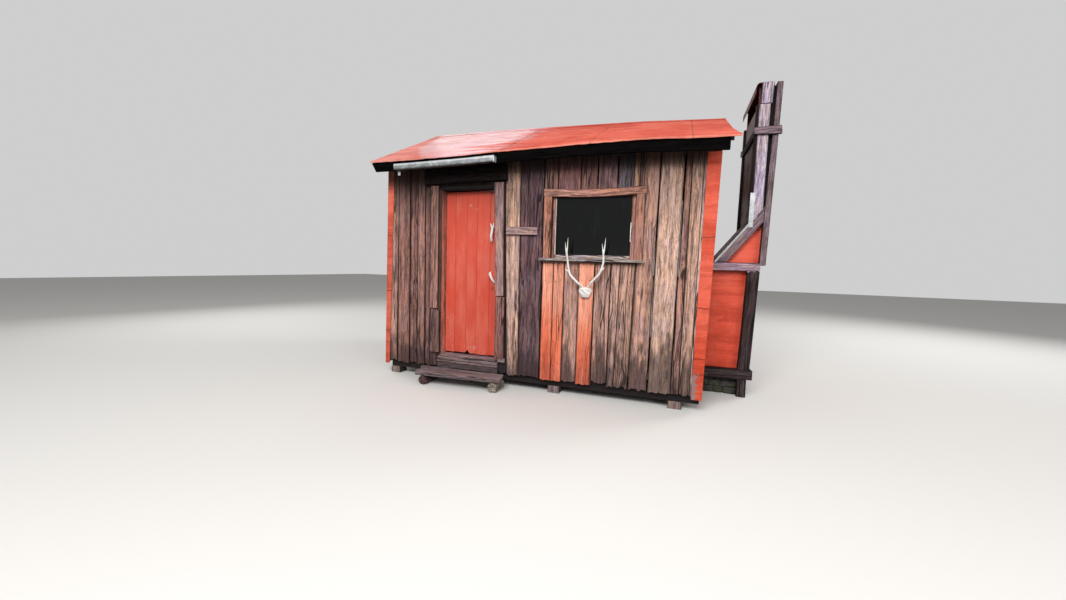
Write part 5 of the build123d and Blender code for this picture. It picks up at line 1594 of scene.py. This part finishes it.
class HUT_OT_skull(bpy.types.Operator):
    """A bleached skull plate with both antlers, under the window"""
    bl_idname = "hut.skull"
    bl_label = "Skull and antlers"

    def execute(self, context):
        crown, middle, height, out = 1.193, 2.470, 0.490, -0.078
        skull = started(bpy.ops.mesh.primitive_uv_sphere_add, "", (0.071, 0.036, 0.070), segments=12, ring_count=8,
                        radius=1.0, location=(middle, -0.020, crown - 0.066))
        edit(skull)
        for way, down, factors in ((-1, 0.085, (0.92, 0.85, 0.95)), (-1, 0.125, (1.7, 1.3, 0.3)),
                                   (1, 0.030, (1.25, 0.8, 0.35))):
            squash(lambda v: (v.co.z - crown + down) * way > 0.0, factors, (middle, -0.02, crown - down))
        for side in (-1, 1):
            shift(lambda v: v.co.y < -0.022
                  and (v.co.x - middle - side * 0.043) ** 2 + (v.co.z - crown + 0.078) ** 2 < 0.00022,
                  (-side * 0.004, 0.009, 0.0))
        leave()

        def on_antler(places, radii, first=1.0):
            return branch([(middle + across * height, out * (1.0 if number else first), crown + up * height)
                           for number, (across, up) in enumerate(places)], radii)

        bones = [skull]
        for beam, tips, brow in (
                ([(-0.067, -0.03), (-0.13, 0.035), (-0.214, 0.115), (-0.30, 0.195), (-0.327, 0.25), (-0.352, 0.36),
                  (-0.367, 0.46), (-0.398, 0.68)],
                 [[(-0.395, 0.60), (-0.425, 0.74), (-0.437, 0.90)], [(-0.395, 0.62), (-0.390, 0.80), (-0.378, 0.985)]],
                 [(-0.31, 0.24), (-0.345, 0.285), (-0.385, 0.292), (-0.42, 0.32)]),
                ([(0.08, -0.03), (0.13, 0.045), (0.2, 0.13), (0.275, 0.21), (0.325, 0.29), (0.36, 0.40),
                  (0.384, 0.52), (0.366, 0.70)],
                 [[(0.368, 0.62), (0.352, 0.76), (0.333, 0.87)], [(0.370, 0.64), (0.395, 0.80), (0.404, 0.985)]],
                 [(0.31, 0.26), (0.34, 0.315), (0.37, 0.34), (0.41, 0.39)])):
            bones.append(on_antler(beam, [0.0150, 0.0130, 0.0122, 0.0120, 0.0115, 0.011, 0.0105, 0.009], 0.35))
            bones.append(on_antler(brow, [0.009, 0.008, 0.006, 0.0018]))
            bones += [on_antler(tip, [0.0085, 0.0065, 0.0015]) for tip in tips]
        for side in (-1, 1):
            bones.append(started(bpy.ops.mesh.primitive_torus_add, major_segments=18, minor_segments=8,
                                 major_radius=0.013, minor_radius=0.0045, rotation=(0.5, side * 0.75, 0.0),
                                 location=(middle + side * 0.042, -0.040, crown - 0.008)))
        melted("deer_skull_and_antlers", bones, 0.0026, (0.014, 0.014, 0.045), 71, -0.0005,
               antler("antler", "antler", "bone"), "deer_skull")
        return {"FINISHED"}


# Step

class HUT_OT_step(bpy.types.Operator):
    """The split plank in front of the door and the logs under it"""
    bl_idname = "hut.step"
    bl_label = "Step"

    def execute(self, context):
        look = context.scene.hut_colours
        low, high = node_box("step_plank")
        plank = board(((low.y, 0.612), (high.y, 0.504), (-0.230, 1.628), (high.y, 1.578)),
                      (low.z + 0.002, high.z - 0.001), FLAT_LONG, tint=look.step_grey, seed=801, relief=0.009,
                      cell=0.018, step=0.05, edge=0.005)
        edit(plank)
        chance = random.Random(8)
        wide = 0.043
        for number in range(7):
            y0 = low.y - 0.01 + number * wide
            shift(lambda v: y0 <= v.co.y < y0 + wide and v.co.x < 0.72 - 0.38 * (v.co.y - low.y),
                  (chance.uniform(-0.004, 0.030), 0.0, chance.uniform(-0.004, 0.0)))
        leave()
        finish_piece(plank, split_wood("split_wood", 0.2, 0.55, 0.25, None), "step_plank")
        logs = []
        radius = node_box("step_logs")[1].z / 2
        behind = -0.016
        for number, (x, front, tint) in enumerate(((0.700, -0.281, look.slab_purple),
                                                   (1.540, -0.240, shade(178, 170, 152)))):
            log = started(bpy.ops.mesh.primitive_cylinder_add, vertices=20, radius=radius, depth=behind - front,
                          location=(x, (front + behind) / 2, radius), rotation=(math.pi / 2, 0, 0))
            edit(log)
            for corners, inset in ((0, 0.006), (4, 0.02)):
                pick("FACE", lambda f: abs(f.normal.y) > 0.9 and len(f.verts) > corners)
                bpy.ops.mesh.inset(thickness=inset)
            divide(lambda e: abs(run(e).y) > 0.9, 9)
            leave()
            surface.roughen(log, 0.007, (0.03, 0.25, 0.03), seed=81 + number)
            mark(log, FLAT_CROSS, Vector((0.0, 1.0, 0.0)), tint, 0.0, 81 + number)
            logs.append(log)
        boarded("step_log_pair", logs, "step_logs", 0.5, 0.3)
        return {"FINISHED"}


# Chimney

class HUT_OT_chimney(bpy.types.Operator):
    """The chimney's timbers, its iron, the bright flashings and the stones under the fire"""
    bl_idname = "hut.chimney"
    bl_label = "Chimney"

    def execute(self, context):
        look = context.scene.hut_colours
        self.seed = 900
        self.low, self.high = node_box("chimney_rails")
        self.front = (self.low.y, node_box("chimney_cheeks")[0].y)
        self.posts(look.chimney_wood, look.chimney_dark)
        self.flue(look.chimney_pale, look.chimney_wood, look.chimney_dark)
        self.iron()
        self.stones()
        return {"FINISHED"}

    def one(self, corners, tint, axes=FRONT_UPRIGHT, depth=None, relief=0.007, **words):
        """One board of the chimney's frame."""
        self.seed += 1
        return [board(corners, depth or self.front, axes, tint=tint, seed=self.seed, relief=relief, **words)]

    def both(self, *settings, **words):
        """A board and its copy at the back."""
        piece, = self.one(*settings, **words)
        return [piece, mirrored_behind(piece)]

    def done(self, name, pieces, node):
        """Joins the boards and finishes them in the chimney's own wood."""
        boarded(name, pieces, node, 0.0, 0.45)

    def posts(self, wood, dark):
        """Feet, bearers, posts and rails, and the boards that slope over the shoulder."""
        low, high = node_box("chimney_feet")
        self.done("foot_blocks", self.both(outline((low.x + 0.004, high.x - 0.004), (0.0, high.z)), dark, step=0.03),
                  "chimney_feet")
        low, high = node_box("chimney_bearers")
        self.done("bearer_beams", [
            *self.both(outline((low.z, high.z), (low.x, high.x), (low.z + 0.004, high.z)), dark, FRONT_LEVEL),
            *self.one(outline((low.z, high.z), (self.front[1], HUT_DEPTH - self.front[1])), dark, SIDE_LEVEL,
                      (high.x - 0.098, high.x - 0.002)),
        ], "chimney_bearers")
        ends, top = (high.z, self.low.z), self.high.z
        self.done("post_timbers", [
            *self.both(outline((4.042, 4.158), ends, (4.073, 4.188)), dark, ragged=(0.0, 0.01)),
            *self.both(outline((HUT_LENGTH + 0.001, HUT_LENGTH + 0.048), ends), dark, relief=0.003),
        ], "chimney_posts")
        self.done("rail_timbers", self.both(
            outline((self.low.z, top), (HUT_LENGTH, self.high.x), (self.low.z + 0.004, top - 0.004)),
            dim(wood, 1.3), FRONT_LEVEL, edge=0.006), "chimney_rails")
        low, high = node_box("shoulder_boards")
        across = 0.099 / math.sin(SHOULDER_ANGLE)
        self.done("shoulder_timbers", self.both(
            ((low.x, low.z), (low.x + across, low.z), (high.x, self.line(high.x)),
             (high.x, self.line(high.x - across))), dim(wood, 0.8), relief=0.006), "shoulder_boards")

    def line(self, x):
        """Height of the shoulder's upper edge."""
        return self.high.z + (x - node_box("shoulder_boards")[0].x) * math.tan(SHOULDER_ANGLE)

    def flue(self, pale, wood, dark):
        """The flue's boards, its leaning uprights, the rough crossbars and battens."""
        left, top = node_box("flue_boards")[0].x, node_box("flue_boards")[1].z
        right = left + 0.105
        slot = node_box("flue_inner_iron")[1].z
        outer = self.high.x
        foot = self.high.z - 0.030
        lean = (top - foot) * math.tan(math.radians(1.1))
        self.done("flue_timbers", [
            *self.both(((left, self.line(left)), (right, self.line(left) + 0.06), (left, slot), (right, slot)),
                       pale, relief=0.006),
            *self.both(outline((left + 0.012, right + 0.014), (slot + 0.004, top), (left + 0.016, right + 0.022)),
                       dim(pale, 0.85), step=0.03, ragged=(0.008, 0.0)),
            *self.both(((outer - 0.012, foot), (outer + 0.050, foot), (outer + lean - 0.004, top),
                        (outer + 0.050 + lean, top - 0.004)), blend(wood, dark, 0.4), relief=0.008),
            # A near-black board behind the gap between the pale board and the leaning upright: painted shade in that
            # gap.
            *self.both(outline((right - 0.01, outer + 0.012), (self.line(right), top - 0.02),
                               (right + 0.005, outer + lean + 0.008)), dim(dark, 0.4),
                       depth=(self.front[1] - 0.03, self.front[1] - 0.001), relief=0.002),
        ], "flue_boards")
        low, high = node_box("flue_battens")
        face = node_box("flue_inner_iron")[0].x
        on_face = (face - 0.022, face)
        bar = 2.805
        edge = self.front[0] + 0.008
        self.done("flue_batten_timbers", [
            *self.both(outline((edge, edge + 0.058), (low.z, slot)), dark, SIDE_UPRIGHT, on_face, 0.004),
            *self.one(outline((bar, bar + 0.08), (edge + 0.06, HUT_DEPTH - edge - 0.06)), dark, SIDE_LEVEL,
                      on_face, 0.004),
            *self.both(((bar + 0.006, low.x + 0.002), (bar + 0.078, low.x + 0.002), (bar - 0.004, high.x - 0.004),
                        (bar + 0.084, high.x - 0.012)), blend(wood, dark, 0.3), FRONT_LEVEL,
                       (low.y + 0.001, self.front[0]), 0.010, edge=0.007),
        ], "flue_battens")

    def dented(self, node, material, slot, seed, relief=0.002):
        """A CAD sheet's copy with more faces, dents and softened edges."""
        piece = restated(node)
        edit(piece)
        for place, normal in ([((0.0, 0.0, 0.32 + level * 0.12), (0.0, 0.0, 1.0)) for level in range(26)]
                              + [((0.0, 0.80 + number * 0.1, 0.0), (0.0, 1.0, 0.0)) for number in range(9)]):
            bpy.ops.mesh.select_all(action="SELECT")
            bpy.ops.mesh.bisect(plane_co=place, plane_no=normal)
        leave()
        soften(piece, 0.0008)
        surface.roughen(piece, relief, (0.25, 0.25, 0.12), seed=seed)
        finish_piece(piece, material, node)

    def iron(self):
        """The chimney's painted and rusted sheets."""
        rusty = rusty_iron("rusted_chimney_iron", "chimney_paint", 0.55, True)
        dark = rusty_iron("dark_flue_iron", "flue_paint", 0.6)
        paint = painted_iron("chimney_paint", 0.30, (0.13, 0.13, 1.0), "chimney")
        self.dented("chimney_cheeks", paint, "painted_iron", 91)
        self.dented("chimney_end_iron", rusty, "rusty_iron", 92)
        for seed, node in enumerate(("shoulder_iron", "flue_inner_iron", "flue_cap"), 93):
            self.dented(node, dark, "rusty_iron", seed)
        self.dented("shoulder_flashings", zinc(), "galvanised_iron", 96, 0.001)

    def stones(self):
        """Packed stones, each its own rounded block, in courses between the hut and the feet."""
        low, high = node_box("hearth")
        chance = random.Random(44)
        alone()
        bpy.ops.mesh.primitive_cube_add(size=1.0)
        stone = bpy.context.object
        edit(stone)
        bpy.ops.mesh.subdivide(number_cuts=2)
        bpy.ops.mesh.bevel(offset=0.12, segments=1)
        leave()
        apply_modifier(stone, "SUBSURF", levels=1, render_levels=1)
        pieces = []
        rows = 4
        tall = (high.z - low.z) / rows
        for row in range(rows):
            y = low.y
            while y < high.y - 0.02:
                long = min(chance.uniform(0.09, 0.19), high.y - y)
                x = low.x
                while x < high.x - 0.02:
                    wide = min(chance.uniform(0.10, 0.20), high.x - x)
                    if high.x - x - wide < 0.05:
                        wide = high.x - x
                    pieces.append(twin_of(stone, (x + wide / 2, y + long / 2, tall * row + tall / 2),
                                          (wide * 1.04, long * 1.04, tall * 1.02),
                                          [chance.uniform(-most, most) for most in (0.06, 0.06, 0.1)]))
                    x += wide
                y += long
        bpy.data.objects.remove(stone)
        piece = join("packed_stones", pieces)
        surface.roughen(piece, 0.014, (0.06, 0.06, 0.06), seed=97)
        edit(piece)
        for place, normal in (((0, 0, 0.0005), (0, 0, -1)), ((0, 0, high.z), (0, 0, 1)), ((high.x, 0, 0), (1, 0, 0)),
                              ((low.x + 0.0005, 0, 0), (-1, 0, 0))):
            cut(place, normal)
        leave()
        finish_piece(piece, field_stone(), "hearth")


# Frame, floor and supports

class HUT_OT_frame(bpy.types.Operator):
    """The sawn frame, the floor's boards and the rough piles"""
    bl_idname = "hut.frame"
    bl_label = "Frame and floor"

    def execute(self, context):
        look = context.scene.hut_colours
        for node, axis in (("wall_studs", 2), ("wall_plates", 0), ("wall_girts", 0), ("floor_joists", 1),
                           ("floor_bearers", 0)):
            # The floor's joists and bearers take the nearly black slab colour: painted shade under the floor.
            state, tint = ("damp", look.slab_dark) if node.startswith("floor") else ("sawn", look.frame_wood)
            material = sawn_wood(f"{state}_{'xyz'[axis]}", tuple(tint), axis)
            piece = restated(node)
            soften(piece, 0.002)
            finish_piece(piece, material, node)
        low, high = node_box("floor")
        chance = random.Random(12)
        boarded("floor_boards", [
            board(outline((y0 + 0.001, y1 - 0.001), (low.x, high.x)), (low.z, high.z - 0.001), FLAT_LONG,
                  tint=[c * chance.uniform(0.7, 0.95) for c in look.frame_wood], seed=950 + number, relief=0.0015,
                  cell=0.05, step=0.3, edge=0.0015)
            for number, (y0, y1) in enumerate(chance_boards(chance, low.y, high.y, 0.12, 0.15))
        ], "floor", 0.0, 0.2)
        low, high = node_box("piles")
        side = 0.130
        places = [(x, y) for x in (low.x, 1.038, 2.085, high.x - side)
                  for y in (low.y, (low.y + high.y) / 2 - side / 2, high.y - side)]
        boarded("pile_stubs", [
            board(outline((x, x + side), (0.0, high.z)), (y, y + side), seed=971 + number, step=0.025, relief=0.006,
                  tint=look.step_grey if x == 2.085 else shade(132, 112, 102), cell=0.03)
            for number, (x, y) in enumerate(places)], "piles")
        return {"FINISHED"}


# Stage

class HUT_OT_stage(bpy.types.Operator):
    """The pale floor, the soft lamps and the camera at the photograph's view"""
    bl_idname = "hut.stage"
    bl_label = "Stage and camera"

    def execute(self, context):
        scene = context.scene
        scene.view_settings.view_transform = "Standard"
        look = scene.hut_colours
        alone()
        bpy.ops.mesh.primitive_plane_add(size=60.0, location=(0.0, 0.0, 0.0))
        floor = bpy.context.object
        floor.name = "studio_floor"
        finish = Finish("studio_floor", Roughness=0.9, Specular_IOR_Level=0.1)
        floor.data.materials.append(finish.close(finish.mix(look.floor_shade, look.floor_grey, finish.seen())))
        world = bpy.data.worlds.new("studio")
        finish = Finish("studio", world)
        background = finish.tree.nodes["Background"]
        background.inputs["Color"].default_value = (1.0, 1.0, 1.0, 1.0)
        finish.plug(background.inputs["Strength"], 0.28 + finish.seen() * 0.34)
        scene.world = world
        middle = Vector((0.0, 0.0, 1.5))
        for name, place, size, power in (("key", (0.2, -8.8, 7.2), 5.0, 740.0), ("fill", (6.5, -7.0, 4.0), 4.0, 190.0),
                                         ("back", (8.0, 6.0, 6.5), 4.0, 420.0), ("left", (-9.0, 1.5, 5.0), 4.0, 180.0)):
            self.lamp(name, Vector(place), size, power, middle)
        self.lamp("sheen", CORNER + Vector((-3.6, 8.9, 7.5)), 3.6, 38.0, CORNER + Vector((1.0, 0.6, 2.9)))
        self.camera(scene)
        return {"FINISHED"}

    def lamp(self, name, place, size, power, aim):
        """A square soft lamp turned to a place."""
        light = bpy.data.lights.new(name, "AREA")
        light.shape = "SQUARE"
        light.size = size
        light.energy = power
        lamp = bpy.data.objects.new(name, light)
        bpy.context.scene.collection.objects.link(lamp)
        lamp.location = place
        lamp.rotation_euler = (aim - place).to_track_quat("-Z", "Y").to_euler()

    def camera(self, scene):
        """The photograph's place, turn and lens."""
        data = bpy.data.cameras.new("photograph")
        data.sensor_fit = "HORIZONTAL"
        data.sensor_width = 36.0
        data.lens = 13.854
        camera = bpy.data.objects.new("photograph", data)
        scene.collection.objects.link(camera)
        right, up, back = (0.94453, 0.32707, 0.02972), (-0.05514, 0.06871, 0.99611), (0.32376, -0.94250, 0.08293)
        turn = Matrix((right, up, back)).transposed().to_4x4()
        camera.matrix_world = Matrix.Translation(CORNER + Vector((3.33615, -4.18586, 1.37554))) @ turn
        scene.camera = camera


PIECE_OPERATORS = [HUT_OT_frame, HUT_OT_front_wall, HUT_OT_other_walls, HUT_OT_roof, HUT_OT_eaves, HUT_OT_flashings,
                   HUT_OT_doorway, HUT_OT_door, HUT_OT_window, HUT_OT_patches, HUT_OT_skull, HUT_OT_step,
                   HUT_OT_chimney, HUT_OT_stage]


class HUT_PT_sidebar(bpy.types.Panel):
    """The hut's pieces, colours and sizes"""
    bl_idname = "HUT_PT_sidebar"
    bl_label = "Backcountry hut"
    bl_space_type = "VIEW_3D"
    bl_region_type = "UI"
    bl_category = "Hut"

    def draw(self, context):
        layout = self.layout
        for operator in PIECE_OPERATORS:
            layout.operator(operator.bl_idname)
        for group in (context.scene.hut_sizes, context.scene.hut_colours):
            box = layout.box()
            for name in group.__annotations__:
                box.prop(group, name)


CLASSES = [HutColours, HutSizes, *PIECE_OPERATORS, HUT_PT_sidebar]


def register():
    for cls in CLASSES:
        bpy.utils.register_class(cls)
    bpy.types.Scene.hut_colours = PointerProperty(type=HutColours)
    bpy.types.Scene.hut_sizes = PointerProperty(type=HutSizes)


def unregister():
    del bpy.types.Scene.hut_sizes
    del bpy.types.Scene.hut_colours
    for cls in reversed(CLASSES):
        bpy.utils.unregister_class(cls)


def main():
    """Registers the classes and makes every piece."""
    register()
    for operator in PIECE_OPERATORS:
        group, name = operator.bl_idname.split(".")
        getattr(getattr(bpy.ops, group), name)()
    surface.clear()


if __name__ == "__main__":
    main()
